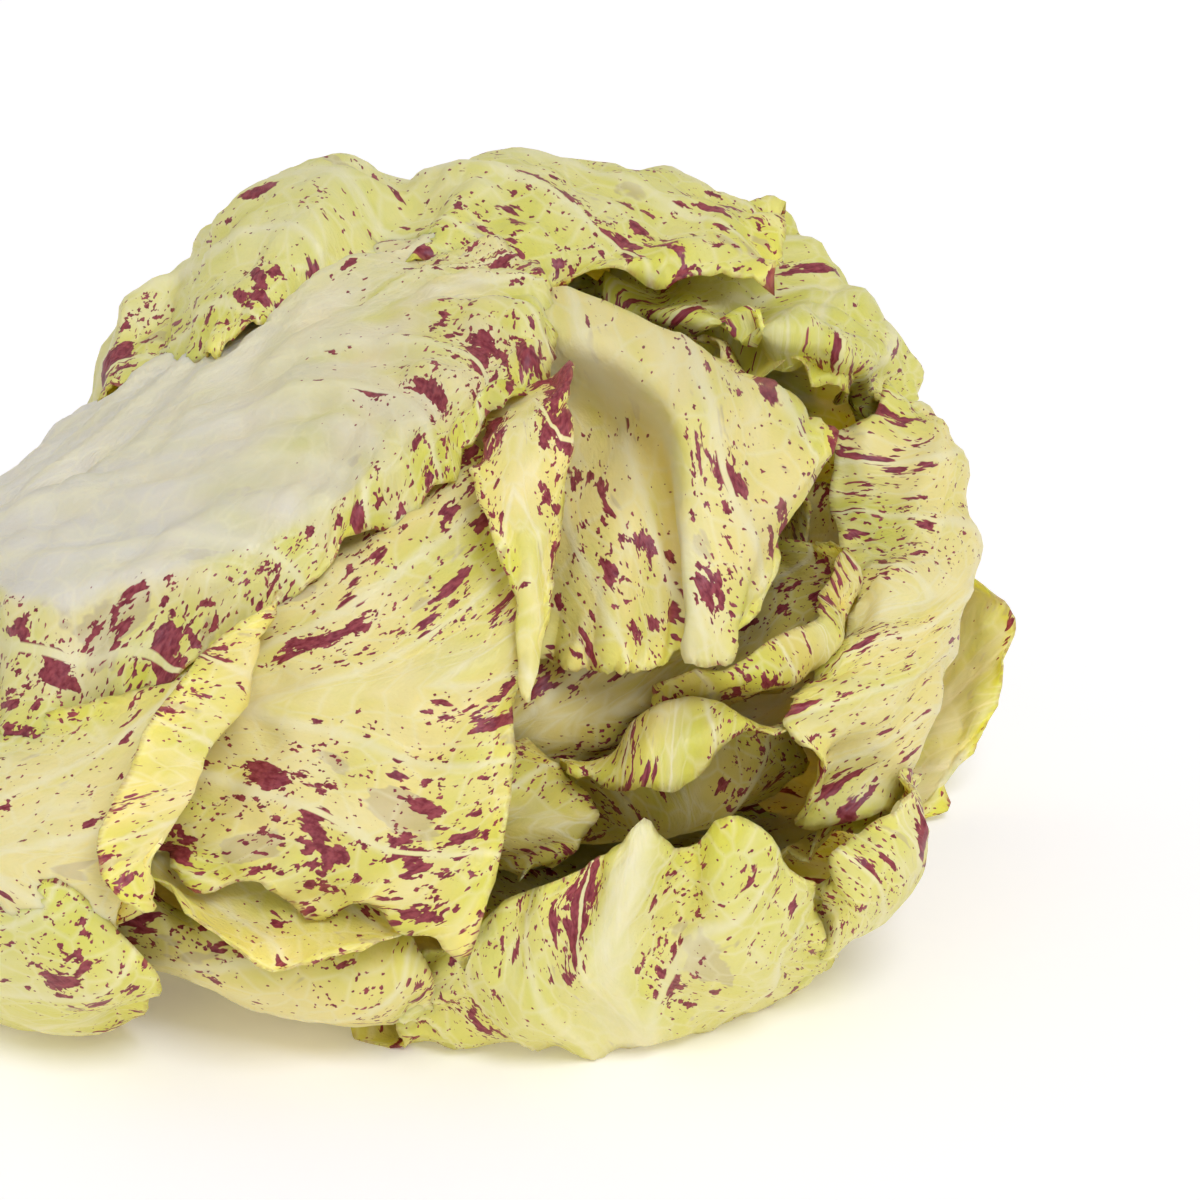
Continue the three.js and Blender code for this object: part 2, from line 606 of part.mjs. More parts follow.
// ---------------------------------------------------------------- the heart
// The innermost leaves stand round the axis as cups, each turned by the golden angle from the last.
const HEART_LEAVES = 6;
const HEART_REACH = 158; // along the axis, of the outermost leaf
const HEART_SHORTENING = 0.16; // share by which the innermost leaf is shorter
const HEART_BELLY = 21; // greatest radius of the outermost leaf
const HEART_NARROWING = 0.65; // share by which the innermost leaf is slimmer
const HEART_SWELL = 1.9; // the part of a sine, in radians, that a cup's radius follows
const HEART_CLOSING = 0.45; // share by which the tips lean in
const HEART_SPREAD = 45; // half of the turn that a leaf covers at its base, in degrees
const HEART_SPREAD_GAIN = 40; // how much more it covers in its middle
const HEART_OVERLAP = 0.12; // share by which one margin lies outside its neighbour's
const HEART_CORNER = 7; // how far the corners of a tip fall back
const HEART_START = 40; // turn of the first leaf
const GOLDEN_ANGLE = 137.5;
const HEART_STATIONS = [0, 0.2, 0.4, 0.6, 0.78, 0.92, 1];
const HEART_RIB = 1; // added thickness of its midribs
const HEART_WAVE = 0.8; // its ruffles, as a share of the other leaves'

function heartRows(k) {
  const [at, radius] = HEART_SEAT;
  const inward = k / HEART_LEAVES;
  const reach = HEART_REACH * (1 - HEART_SHORTENING * inward);
  const belly = HEART_BELLY * (1 - HEART_NARROWING * inward);
  const middle = HEART_START + k * GOLDEN_ANGLE;
  return HEART_STATIONS.map((t) => {
    const lean = 1 - HEART_CLOSING * smooth((t - 0.75) / 0.25);
    const cup = radius * (1 - inward) + belly * Math.sin(HEART_SWELL * t) * lean;
    const spread = HEART_SPREAD + HEART_SPREAD_GAIN * Math.sin(Math.PI * Math.min(t, 0.8));
    return [-1, -0.5, 0, 0.5, 1].map((side) => {
      const dip = HEART_CORNER * side * side * smooth((t - 0.6) / 0.4);
      const along = at + (reach - at) * t - dip;
      return onStump(middle + side * spread, along, cup * (1 + HEART_OVERLAP * side));
    });
  });
}

function heartSolid() {
  const leaves = Array.from({ length: HEART_LEAVES }, (_, k) =>
    leafSolid({ rows: heartRows(k), phase: k, rib: HEART_RIB, wave: HEART_WAVE }),
  );
  return leaves.reduce((all, leaf) => all.add(leaf));
}

// ---------------------------------------------------------------- the head
const head = new THREE.Group();
const stump = stumpSolid();
head.add(meshOf("stump", stump, 0xe8e2c8));
const taken = [stump];
for (const [index, leaf] of LEAVES.entries()) {
  const laid = { ...leaf, rows: rowsOf(leaf), phase: 1.7 * index };
  const solid = taken.reduce((rest, room) => rest.subtract(room), leafSolid(laid));
  taken.push(leafSolid(laid, GAP));
  head.add(meshOf(leaf.name, largestBody(solid), leaf.colour));
}
const heart = taken.reduce((rest, room) => rest.subtract(room), heartSolid());
head.add(meshOf("heart", largestBody(heart), 0xe4dc98));

export default head;
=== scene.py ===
"""A head of variegated radicchio lying on its side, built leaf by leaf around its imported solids.

Each leaf is one closed sheet that grows from the stump. Its course is a net of points laid out on an
easel, as in the part's source. On top of that come its waved margin, its pleats and the relief of its
veins, and a finish that follows the veins: white ribs, a yellow-green blade and wine-red flecks.
"""
import math
from typing import NamedTuple

import bpy
import numpy as np
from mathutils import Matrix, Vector


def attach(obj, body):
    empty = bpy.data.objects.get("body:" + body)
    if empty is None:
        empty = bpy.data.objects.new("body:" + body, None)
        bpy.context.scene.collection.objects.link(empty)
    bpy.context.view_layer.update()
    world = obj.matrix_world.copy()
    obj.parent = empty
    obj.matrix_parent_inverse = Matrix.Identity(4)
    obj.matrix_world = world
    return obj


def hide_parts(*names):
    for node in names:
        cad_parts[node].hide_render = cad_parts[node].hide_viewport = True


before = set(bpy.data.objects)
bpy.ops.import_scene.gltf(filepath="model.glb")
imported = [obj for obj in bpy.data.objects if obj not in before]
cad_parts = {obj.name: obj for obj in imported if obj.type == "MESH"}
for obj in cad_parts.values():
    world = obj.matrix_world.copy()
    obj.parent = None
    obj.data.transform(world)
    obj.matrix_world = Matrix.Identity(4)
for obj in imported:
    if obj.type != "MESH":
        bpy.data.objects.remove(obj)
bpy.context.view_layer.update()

bl_info = {
    "name": "Variegated radicchio head",
    "version": (1, 0, 0),
    "blender": (4, 5, 0),
    "location": "3D View > Sidebar > Radicchio",
    "description": "Builds a head of variegated radicchio: stump, leaves, heart and a pale studio",
    "category": "Add Mesh",
}

MM = 0.001


def hex_colour(code):
    """Linear colour of an sRGB hex value, as (red, green, blue)."""
    channels = [int(code[i : i + 2], 16) / 255 for i in (1, 3, 5)]
    return tuple(c / 12.92 if c <= 0.04045 else ((c + 0.055) / 1.055) ** 2.4 for c in channels)


# ---------------------------------------------------------------- what a user would change
def length_property(name, description, default, least=0.0):
    """Declare a length that a user can change, given in mm."""
    return bpy.props.FloatProperty(
        name=name, description=description, default=default * MM, min=least * MM, unit="LENGTH"
    )


def colour_property(name, description, code):
    """Declare a colour that a user can change."""
    return bpy.props.FloatVectorProperty(
        name=name, description=description, default=hex_colour(code), size=3, min=0, max=1, subtype="COLOR"
    )


class RadicchioShape(bpy.types.PropertyGroup):
    """Sizes of the leaves"""

    blade: length_property("Blade", "Thickness of a leaf blade", 0.7, least=0.3)
    margin: length_property("Margin", "Thickness of a leaf at its margin", 0.35, least=0.1)
    rib: length_property("Midrib", "Height of the midrib where it leaves the stump", 3.4)
    wave: length_property("Wave", "Height of the long waves along a margin", 2)
    frill: length_property("Frill", "Height of the short frills along a margin", 1.0)
    pleat: length_property("Pleat", "Depth of the soft pleats between veins", 0.7)
    vein: length_property("Vein", "Height of the side veins on a leaf's outer face", 0.45)
    tooth: length_property("Tooth", "Depth of the small teeth in a margin", 0.35)
    mesh_step: length_property("Mesh step", "Edge length of a leaf's mesh", 1.35, least=0.5)


class RadicchioColours(bpy.types.PropertyGroup):
    """Colours of the head"""

    white: colour_property("Bleached skin", "Thin bleached skin of the palest leaf", "#dfdac8")
    rib: colour_property("Rib cream", "Midribs, veins and leaf bases", "#eee8c2")
    yellow: colour_property("Blade yellow", "Blades of the inner leaves", "#eadb89")
    pale: colour_property("Blade cream", "Blades of the palest leaves", "#e9dca3")
    green: colour_property("Blade green", "Blades of the outer leaves", "#ded879")
    # painted shade: a darker, deeper gold for the blades in the crown's hollows, standing in for the shade
    # that falls there
    golden: colour_property("Blade gold", "Blades that lie deep in the crown", "#dac664")
    hem: colour_property("Margin green", "Greener tissue towards the margins", "#d3d154")
    wine: colour_property("Wine", "Deep colour of the flecks and streaks", "#74202f")
    rose: colour_property("Rose", "Thin parts of the flecks and streaks", "#a04a50")
    taupe: colour_property("Taupe", "Old colour under the surface", "#b09c86")
    cut: colour_property("Cut face", "Fresh flesh of the cut stump", "#e6ddb8")
    rust: colour_property("Rust", "Cut flesh and scars that have browned", "#a8764a")


class RadicchioStudio(bpy.types.PropertyGroup):
    """Floor and light"""

    floor: colour_property("Floor", "Paper that the head lies on", "#fdfdfd")
    sky: bpy.props.FloatProperty(name="Fill", description="Strength of the even light", default=0.58, min=0)
    key: bpy.props.FloatProperty(
        name="Key", description="Strength of the soft light from the right", default=1.28, min=0
    )


# ---------------------------------------------------------------- the layout easel, in mm
def heading(turn, tilt):
    """Unit vector away from the head: turn grows from its front to its right, tilt from level to up."""
    level = math.cos(tilt)
    return np.array([math.sin(turn) * level, -math.cos(turn) * level, math.sin(tilt)])


# Leaves are laid out as seen by someone who stands to the right of the head's front, looks down on it
# and sees the crown three-quarters on: u is to their right, v is up in their view and w comes towards
# them. Nearer points look larger, so u and v shrink with w.
VIEW_TURN = math.radians(20)
VIEW_TILT = math.radians(22)
EYE_DISTANCE = 1100
EASEL_CENTRE = np.array([55.4, 8, 55.7])
EASEL_RIGHT = np.array([math.cos(VIEW_TURN), math.sin(VIEW_TURN), 0])
EASEL_TOWARDS = heading(VIEW_TURN, VIEW_TILT)
EASEL_UP = np.cross(EASEL_TOWARDS, EASEL_RIGHT)
EASEL_WIDTH = 200  # how much of the head's plane the camera takes in


def from_easel(point):
    """The place of an easel point in the head's frame, in mm."""
    u, v, w = point
    shrink = 1 - w / EYE_DISTANCE
    return EASEL_CENTRE + EASEL_RIGHT * u * shrink + EASEL_UP * v * shrink + EASEL_TOWARDS * w


# ---------------------------------------------------------------- the stump's axis, in mm
STUMP_HEART = from_easel((-146, -19, -36))  # where the leaves' midribs meet
CROWN_HEART = from_easel((25, -4, 20))  # middle of the open crown
STUMP_AXIS = (CROWN_HEART - STUMP_HEART) / np.linalg.norm(CROWN_HEART - STUMP_HEART)
STUMP_TOP = np.array([0, 0, 1]) - STUMP_AXIS[2] * STUMP_AXIS
STUMP_TOP = STUMP_TOP / np.linalg.norm(STUMP_TOP)
STUMP_FRONT = np.cross(STUMP_AXIS, STUMP_TOP)

# The rings that leaves start from: (along the axis, radius), outermost first.
WRAPPER_SEAT = (-18, 20)
OUTER_SEAT = (-17, 16.6)
MIDDLE_SEAT = (-5, 14.4)
INNER_SEAT = (2, 10.6)
HEART_SEAT = (8, 7)


def on_stump(turn, along, radius):
    """A point about the stump: turn is 0 at its top and 90 at its front, along runs to the crown."""
    angle = math.radians(turn)
    spoke = STUMP_TOP * math.cos(angle) + STUMP_FRONT * math.sin(angle)
    return STUMP_HEART + STUMP_AXIS * along + spoke * radius


# ---------------------------------------------------------------- smooth nets and noise
def ease(x):
    """0 below 0, 1 above 1 and smooth between."""
    x = np.clip(x, 0, 1)
    return x * x * (3 - 2 * x)


def ripple(x):
    """An uneven wave from about -1 to 1."""
    return 0.65 * np.sin(x) + 0.35 * np.sin(2.3 * x + 1)


NOISE_CELLS = 64  # each way, before it repeats
NOISE_GAIN = 1.6  # brings it to about -1 to 1


def noise(x, y, seed):
    """Smooth noise with waves about 2 long, the same each run."""
    angles = np.random.default_rng(seed).uniform(0, 2 * np.pi, (NOISE_CELLS, NOISE_CELLS))
    left, low = np.floor(x).astype(int), np.floor(y).astype(int)
    total = 0
    for i in (0, 1):
        for j in (0, 1):
            angle = angles[(left + i) % NOISE_CELLS, (low + j) % NOISE_CELLS]
            dx, dy = x - left - i, y - low - j
            slope = dx * np.cos(angle) + dy * np.sin(angle)
            total = total + slope * ease(1 - abs(dx)) * ease(1 - abs(dy))
    return NOISE_GAIN * total


def knots_of(lines):
    """Knots that follow the mean distance between neighbours along the second axis."""
    gaps = np.linalg.norm(np.diff(lines, axis=1), axis=2).mean(axis=0)
    return np.concatenate([[0], np.cumsum(np.maximum(gaps, 1))])


def spline(points, knots, at):
    """A cubic through points (first axis) at rising knots, read at every value in the grid at."""
    if points.ndim == 2:
        points = points[:, None, None, :]
    span = np.diff(knots)
    wide = span[:, None, None, None]
    slope = np.diff(points, axis=0) / wide
    inner = (slope[:-1] * wide[1:] + slope[1:] * wide[:-1]) / (wide[:-1] + wide[1:])
    tangent = np.concatenate([slope[:1], inner, slope[-1:]])
    k = np.clip(np.searchsorted(knots, at) - 1, 0, len(span) - 1)

    def pick(values, which):
        spread = np.broadcast_to(values, (len(knots), *at.shape, 3))
        return np.take_along_axis(spread, which[None, ..., None], axis=0)[0]

    t = ((at - knots[k]) / span[k])[..., None]
    reach = span[k][..., None]
    return (
        pick(points, k) * (2 * t**3 - 3 * t**2 + 1)
        + pick(tangent, k) * (t**3 - 2 * t**2 + t) * reach
        + pick(points, k + 1) * (3 * t**2 - 2 * t**3)
        + pick(tangent, k + 1) * (t**3 - t**2) * reach
    )


def run_of(place, axis):
    """How far each point of a grid is along its line, from the line's start."""
    steps = np.linalg.norm(np.diff(place, axis=axis), axis=2)
    start = np.zeros_like(np.take(steps, [0], axis=axis))
    return np.cumsum(np.concatenate([start, steps], axis=axis), axis=axis)


def normals_of(place):
    along, across = np.gradient(place, axis=(0, 1))
    normal = np.cross(across, along)
    return normal / np.linalg.norm(normal, axis=2, keepdims=True)


# ---------------------------------------------------------------- leaves
WAVE_LENGTH = 34  # of the long waves along a margin, in mm
CURL_LENGTH = 17  # of the tight ruffles along it, in mm
VEIN_SPACING = 13  # between side veins where they leave the midrib, in mm
FALL = math.radians(20)  # how far the veins of a draped leaf lean to the right as they fall
RIB_WIDTH = 0.16  # half width of the midrib, as a share of the leaf's width


class Leaf(NamedTuple):
    """One leaf: a row of easel points across it for each step from the stump to the tip.

    In a row the points run with rising turn about the stump. turn and spread give the middle and the
    half width of its base, in degrees. A patch is a dark place: (share across, share along, mm across
    the veins, mm along them).
    """

    name: str
    turn: float
    spread: float
    seat: tuple
    net: np.ndarray
    wave: float = 1.0
    tone: str = "yellow"
    white: float = 0.3  # share of the blade's middle that is bleached
    hem: float = 16  # width of the coloured margin at the tip, in mm
    flare: float = 0  # how much wider the hem is at the base, in mm
    green: float = 0.0  # how much greener than its tone
    flecks: float = 0.5  # how thickly flecked, from 0 to 1
    bare: float = 0.4  # how much of that the middle of the blade lacks
    crumple: float = 1.0
    pleats: float = 1.0
    frill: float = 1.0
    curls: float = 0.4  # mm, tight ruffles along the margin
    lobes: float = 1.0  # how uneven the outline is
    rib: float = 1.0  # breadth of the white midrib
    fan: float = 5.0  # how closely the side veins keep to the midrib
    drape: bool = False  # whether its veins follow the fall of its folds
    round: float = 0.05  # how far the tip's corners are rounded, as a share of the length
    fade: float = 0.6  # how soft the inner edge of the hem is
    crease: float = 0.0  # how far the hem bends down, in mm at the margin
    white_to: float = 1.3  # share of the length where the bleached middle ends
    stains: tuple = ()  # brown-grey bruises, given as the patches are
    patches: tuple = ()


def net_of(across, *numbers):
    """Rows of easel points, from the u, v and w of each point in turn; across is how many make a row."""
    return np.array(numbers).reshape(-1, across, 3)


# Outermost first.
LEAVES = (
    Leaf(
        name="leaf_low_left", turn=128, spread=28, seat=WRAPPER_SEAT,
        tone="green", white=0.4, flecks=0.62, round=0.12, frill=0.3, lobes=0.4,
        patches=((0.25, 0.88, 2.4, 4),),
        net=net_of(5,
            -122, -36, 10,  -122, -44, 6,  -122, -48, -4,  -120, -50, -14,  -118, -48, -22,
            -100, -46, 56,  -100, -58, 54,  -100, -67, 42,  -100, -70, 26,  -100, -62, 5,
            -86, -47, 62,  -85, -60, 60,  -85, -70, 46,  -86, -72, 32,  -86, -63, 8,
            -74, -52, 58,  -73, -60, 56,  -74, -67, 46,  -76, -69, 36,  -78, -62, 15,
        ),
    ),
    Leaf(
        name="leaf_shoulder", turn=20, spread=45, seat=OUTER_SEAT,
        tone="pale", white=1.15, white_to=0.8, green=0.3, flecks=0.7, bare=1.0, hem=3, flare=46,
        fade=1.2, crease=4.0, crumple=1.4, pleats=3.3, stains=((0.87, 0.57, 3, 9),),
        patches=((0.757, 0.864, 1.8, 7), (0.657, 0.905, 1.5, 6), (0.729, 0.803, 2, 4)),
        net=net_of(5,
            -118, -2, -52,  -115, 5, -32,  -112, 2, -5,  -110, -8, 15,  -112, -22, 20,
            -106, 12, -52,  -100, 21, -20,  -98, 10, 20,  -97, -2, 43,  -98, -28, 48,
            -80, 28, -56,  -76, 38, -25,  -74, 22, 18,  -73, 5, 48,  -76, -15, 54,
            -50, 48, -48,  -46, 56, -18,  -40, 42, 18,  -38, 24, 44,  -44, 11, 53,
            -26, 55, -32,  -22, 59, -6,  -18, 48, 26,  -22, 34, 42,  -27, 24, 50,
            -14, 57, -10,  -8, 54, 10,  -7, 47, 26,  -10, 40, 38,  -18, 34, 46,
        ),
    ),
    Leaf(
        name="leaf_crown_fold", turn=-62, spread=38, seat=OUTER_SEAT,
        tone="green", white=0.3, green=0.15, flecks=0.6, crumple=2.2, pleats=1.6, curls=1.4, round=0.01,
        patches=((0.849, 0.843, 2.2, 5), (0.9, 0.435, 3, 7), (0.83, 0.46, 2, 6)),
        net=net_of(6,
            -114, -32, -60,  -114, -18, -68,  -114, -8, -66,  -114, 0, -58,  -114, 2, -50,  -114, 0, -44,
            -92, -24, -74,  -90, -4, -82,  -88, 8, -74,  -87, 14, -62,  -86, 16, -52,  -86, 14, -46,
            -84, -18, -80,  -83, 8, -86,  -80, 33, -72,  -78, 51, -46,  -80, 42, -34,  -82, 35, -26,
            -76, -16, -84,  -75, 12, -89,  -72, 37, -77,  -70, 56, -51,  -71, 45, -36,  -72, 36, -23,
            -68, -15, -86,  -66, 15, -90,  -66, 42, -72,  -66, 61, -42,  -68, 51, -22,  -68, 40, -7,
            -42, -12, -88,  -42, 20, -92,  -43, 55, -70,  -43, 74, -34,  -47, 62, -14,  -56, 45, -4,
            -31, -12, -87,  -31, 20, -91,  -32, 54, -68,  -33, 69, -34,  -35, 62, -16,  -43, 50, -7,
            -16, -12, -86,  -16, 22, -90,  -18, 58, -66,  -20, 74, -30,  -22, 66, -12,  -28, 56, -2,
            10, -12, -80,  10, 20, -84,  9, 54, -62,  8, 71, -30,  3, 62, -10,  -3, 53, 0,
            20, -12, -76,  37, 12, -70,  36, 42, -56,  30, 66, -30,  32, 60, -14,  32, 54, -2,
        ),
    ),
    Leaf(
        name="leaf_ground_front", turn=170, spread=30, seat=OUTER_SEAT,
        tone="green", white=0.2, flecks=0.5, round=0.02, crumple=1.8, pleats=1.5, rib=1.5, curls=0.8,
        patches=((0.39, 0.945, 4.5, 11), (0.18, 0.866, 2, 6)), stains=((0.73, 0.912, 5, 7),),
        net=net_of(7,
            -118, -48, -8,  -114, -50, -15,  -110, -50, -21,  -105, -48, -28,  -101, -46, -33,
                -96, -44, -38,  -92, -42, -44,
            -72, -59, 14,  -57, -58, 6,  -43, -57, 0,  -30, -58, -5,  -17, -57, -9,  -3, -55, -14,
                10, -54, -16,
            -33, -73, 34,  -20, -73, 36,  -8, -74, 37,  5, -73, 37,  17, -71, 33,  29, -66, 26,
                40, -59, 16,
            -34, -68, 41,  -20, -66, 47,  -9, -66, 50,  0, -61, 55,  11, -61, 50,  22, -59, 51,
                37, -56, 34,
            -31, -62, 46,  -18, -57, 52,  -8, -53, 54,  3, -49, 60,  13, -50, 54,  22, -48, 57,
                37, -50, 42,
            -27, -60, 49,  -15, -49, 53,  -2, -45, 56,  7, -37, 60,  15, -41, 55,  21, -35, 57,
                35, -46, 46,
        ),
    ),
    Leaf(
        name="leaf_back", turn=268, spread=30, seat=WRAPPER_SEAT,
        tone="green", white=0.6, flecks=0.4,
        net=net_of(5,
            -114, -42, -46,  -114, -34, -60,  -114, -22, -69,  -114, -10, -73,  -114, 0, -71,
            -82, -38, -60,  -82, -27, -80,  -82, -11, -93,  -82, 7, -95,  -82, 21, -89,
            -46, -38, -64,  -46, -24, -86,  -46, -6, -98,  -46, 14, -100,  -46, 30, -95,
            -15, -36, -62,  -13, -23, -81,  -11, -6, -93,  -12, 12, -96,  -16, 26, -93,
            -6, -34, -58,  -1, -21, -75,  2, -8, -88,  -2, 8, -94,  -8, 19, -93,
        ),
    ),
    Leaf(
        name="leaf_far_right", turn=232, spread=30, seat=OUTER_SEAT,
        # its own pale green-white blade, painted paler still as painted light shining through it from
        # behind
        tone="pale", white=0.9, green=0.6, hem=2, flecks=0.4, curls=0.8,
        net=net_of(5,
            -88, -38, -28,  -86, -30, -52,  -84, -18, -70,  -82, -4, -78,  -80, 8, -76,
            -5, -50, -6,  0, -42, -38,  2, -28, -64,  2, -8, -74,  0, 8, -74,
            40, -46, -30,  46, -36, -56,  50, -20, -68,  50, -4, -72,  46, 10, -70,
            56, -35, -58,  63, -24, -56,  68, -10, -52,  67, 0, -50,  60, 10, -50,
        ),
    ),
    Leaf(
        name="leaf_left_turned", turn=92, spread=25, seat=OUTER_SEAT,
        white=0.35, hem=6, flecks=0.65, rib=0.6,
        net=net_of(5,
            -120, -10, 12,  -120, -20, 20,  -120, -30, 24,  -120, -40, 22,  -120, -48, 14,
            -100, -22, 44,  -99, -30, 54,  -98, -42, 60,  -98, -54, 56,  -100, -60, 36,
            -80, -16, 50,  -80, -28, 58,  -80, -42, 63,  -82, -56, 58,  -84, -64, 34,
            -58, -4, 52,  -66, -16, 59,  -73, -29, 63,  -79, -43, 63,  -80, -54, 57,
            -52, 0, 56,  -59, -13, 63,  -66, -28, 67,  -73, -43, 67,  -76, -52, 62,
            -60, 1, 60,  -72, -14, 67,  -78, -28, 71,  -84, -43, 71,  -80, -55, 65,
        ),
    ),
    Leaf(
        name="leaf_heart_strip", turn=60, spread=20, seat=MIDDLE_SEAT,
        flecks=0.62, white=0.1, crumple=0.8, pleats=0.4, round=0.01,
        patches=((0.1, 0.78, 7, 9), (0.45, 0.79, 6, 9), (0.3, 0.862, 2, 4), (0.7, 0.924, 1.5, 3)),
        net=net_of(3,
            -110, 0, 8,  -110, -9, 13,  -110, -18, 14,
            -60, 22, 20,  -60, 14, 26,  -60, 6, 30,
            -30, 31, 31,  -33, 24, 34,  -37, 17, 34,
            -4.5, 38, 40,  -12, 33, 42,  -19, 28, 42,
            -5, 32, 50,  -13, 29, 53,  -21, 25, 52,
            -5.5, 17, 57,  -13, 17, 60,  -20.5, 17, 59,
            -7, 6, 60,  -11, 6, 63,  -15.5, 6, 62,
            -9, -6, 63,  -11.5, -6, 65,  -14, -6, 64,
            -10.5, -16, 66,  -12, -17, 67,  -13.5, -16, 66,
        ),
    ),
    Leaf(
        name="leaf_front_belly", turn=98, spread=34, seat=MIDDLE_SEAT,
        white=0.25, green=0.1, flecks=0.66, crumple=1.3, pleats=2.0, lobes=2.5, curls=1.0, fan=6.0,
        round=0.03,
        patches=(
            (0.38, 0.81, 1.6, 11), (0.44, 0.831, 1.4, 9), (0.69, 0.746, 2.5, 6), (0.833, 0.892, 2.5, 5),
        ),
        stains=((0.67, 0.82, 2.5, 7), (0.745, 0.885, 2.5, 7), (0.87, 0.76, 4, 4)),
        net=net_of(5,
            -118, -5, 5,  -116, -14, 12,  -115, -24, 16,  -115, -34, 14,  -116, -42, 8,
            -75, 8, 32,  -70, -7, 46,  -66, -20, 52,  -68, -34, 54,  -74, -44, 51,
            -45, 17, 37,  -42, 0, 54,  -40, -17, 60,  -42, -36, 62,  -46, -52, 57,
            -27, 29, 36,  -23, 9, 53,  -20, -14, 61,  -21, -36, 65,  -25, -57, 60,
            -16, 35, 34,  -15, 11, 52,  -13, -10, 60,  -15, -35, 65,  -18, -61, 60,
        ),
    ),
    Leaf(
        name="leaf_belly_lip", turn=118, spread=24, seat=MIDDLE_SEAT,
        wave=0.4, white=0.5, flecks=0.3, green=0.1, crumple=0.4, frill=0.6, rib=1.2,
        net=net_of(5,
            -116, -20, 4,  -116, -26, 8,  -116, -32, 8,  -116, -38, 6,  -116, -43, 2,
            -80, -20, 36,  -80, -30, 40,  -79, -38, 43,  -77, -44, 48,  -76, -46, 55,
            -62, -22, 40,  -62, -34, 45,  -61, -44, 48,  -60, -53, 52,  -60, -59, 60,
            -45, -26, 42,  -45, -36, 47,  -45, -46, 50,  -45, -54, 54,  -46, -60, 61,
            -32, -34, 44,  -32, -42, 49,  -31, -48, 52,  -31, -54, 56,  -31, -58, 60,
        ),
    ),
    Leaf(
        name="leaf_inner_lip", turn=150, spread=20, seat=MIDDLE_SEAT,
        # golden tone: its blade is darkened as painted shade of the crown's hollows
        tone="golden", flecks=0.7, white=0.1, crumple=1.2, curls=1.0, patches=((0.3, 0.86, 2.5, 7),),
        stains=((0.8, 0.8, 4, 5),),
        net=net_of(4,
            -105, -26, 4,  -105, -31, 2,  -105, -35, -4,  -104, -37, -12,
            -58, -32, 28,  -58, -39, 28,  -57, -45, 22,  -55, -47, 10,
            -30, -27, 36,  -30, -34, 38,  -29, -41, 36,  -28, -45, 28,
            -17, -24, 42,  -17, -32, 46,  -16, -40, 44,  -14, -45, 38,
            -8, -24, 38,  -6, -32, 41,  -5, -40, 42,  -5, -44, 38,
            -3, -29, 36,  -1, -35, 39,  -1, -40, 40,  -2, -43, 38,
        ),
    ),
    Leaf(
        name="leaf_under_belly", turn=145, spread=25, seat=MIDDLE_SEAT,
        flecks=0.55, crumple=0.7,
        net=net_of(5,
            -116, -30, 4,  -116, -36, 6,  -116, -42, 4,  -116, -46, -2,  -114, -48, -8,
            -73, -50, 42,  -73, -55, 46,  -72, -61, 42,  -70, -62, 30,  -68, -58, 10,
            -50, -54, 46,  -50, -61, 50,  -51, -68, 46,  -50, -69, 32,  -48, -60, 6,
            -34, -54, 48,  -34, -61, 51,  -35, -68, 46,  -34, -70, 32,  -30, -62, 8,
            -27, -55, 50,  -27, -59, 52,  -28, -64, 48,  -28, -68, 38,  -26, -64, 22,
        ),
    ),
    Leaf(
        name="leaf_top_right", turn=-40, spread=36, seat=MIDDLE_SEAT,
        # green share: partly the leaf's own greener colour, partly painted shade that darkens and saturates
        # it
        wave=2.2, tone="green", flecks=0.55, white=0.1, green=0.5, crumple=2.0, frill=0.5, curls=0.7,
        lobes=0.4, pleats=2.0, round=0.08,
        net=net_of(5,
            -92, -12, -56,  -90, -4, -64,  -88, 3, -64,  -86, 7, -57,  -84, 9, -48,
            -18, -10, -64,  -20, 12, -70,  -22, 34, -64,  -24, 48, -52,  -26, 56, -38,
            46, 20, -55,  40, 32, -56,  33, 45, -54,  24, 54, -50,  12, 56, -44,
            53, 26, -46,  50, 43, -39,  41, 53, -41,  32, 64, -42,  17, 64, -40,
            51, 24, -38,  44, 43, -22,  33, 49, -21,  21, 54, -24,  2, 55, -26,
            48, 24, -31,  38, 42, -1,  28, 43.5, 4,  17, 46, -2,  -5, 51, -16,
            46, 22, -30,  37, 39, -6,  28, 40.5, -5,  16, 44, -8,  -7, 49, -19,
            44, 19, -31,  37, 35.5, -3,  28, 37.5, -1,  16, 42, -7,  -8, 48, -20,
        ),
    ),
    Leaf(
        name="leaf_right_wall", turn=252, spread=42, seat=MIDDLE_SEAT,
        flecks=0.62, white=0.1, round=0.02, curls=1.0, crumple=1.4,
        net=net_of(5,
            -88, -24, -20,  -88, -20, -36,  -87, -12, -48,  -86, -2, -54,  -84, 6, -52,
            -10, -46, 0,  -5, -36, -30,  0, -20, -52,  2, -2, -58,  2, 15, -56,
            36, -42, 18,  48, -28, -8,  54, -8, -26,  52, 10, -34,  44, 24, -36,
            46, -36, 22,  57, -12, 12,  61.5, 9, -4,  57, 31, -15,  47, 36, -21,
            34, -37, 30,  50, -12, 24,  56, 4, 10,  55, 25, -5,  47, 32, -13,
            36, -27, 34,  42, -11, 29,  50, 3, 15,  47, 19, 0,  42, 28, -8,
            27, -22, 36,  33, -14, 30,  43, 1, 14,  37, 15, 2,  36, 26, -6,
        ),
    ),
    Leaf(
        name="leaf_roll_right", turn=200, spread=20, seat=MIDDLE_SEAT,
        tone="green", white=0.3, flecks=0.7, curls=0.8, patches=((0.53, 0.96, 5, 9),),
        net=net_of(5,
            -92, -34, -8,  -91, -34, -16,  -90, -32, -24,  -88, -29, -32,  -86, -25, -38,
            -5, -54, 20,  5, -51, 8,  14, -45, -4,  18, -38, -14,  18, -32, -22,
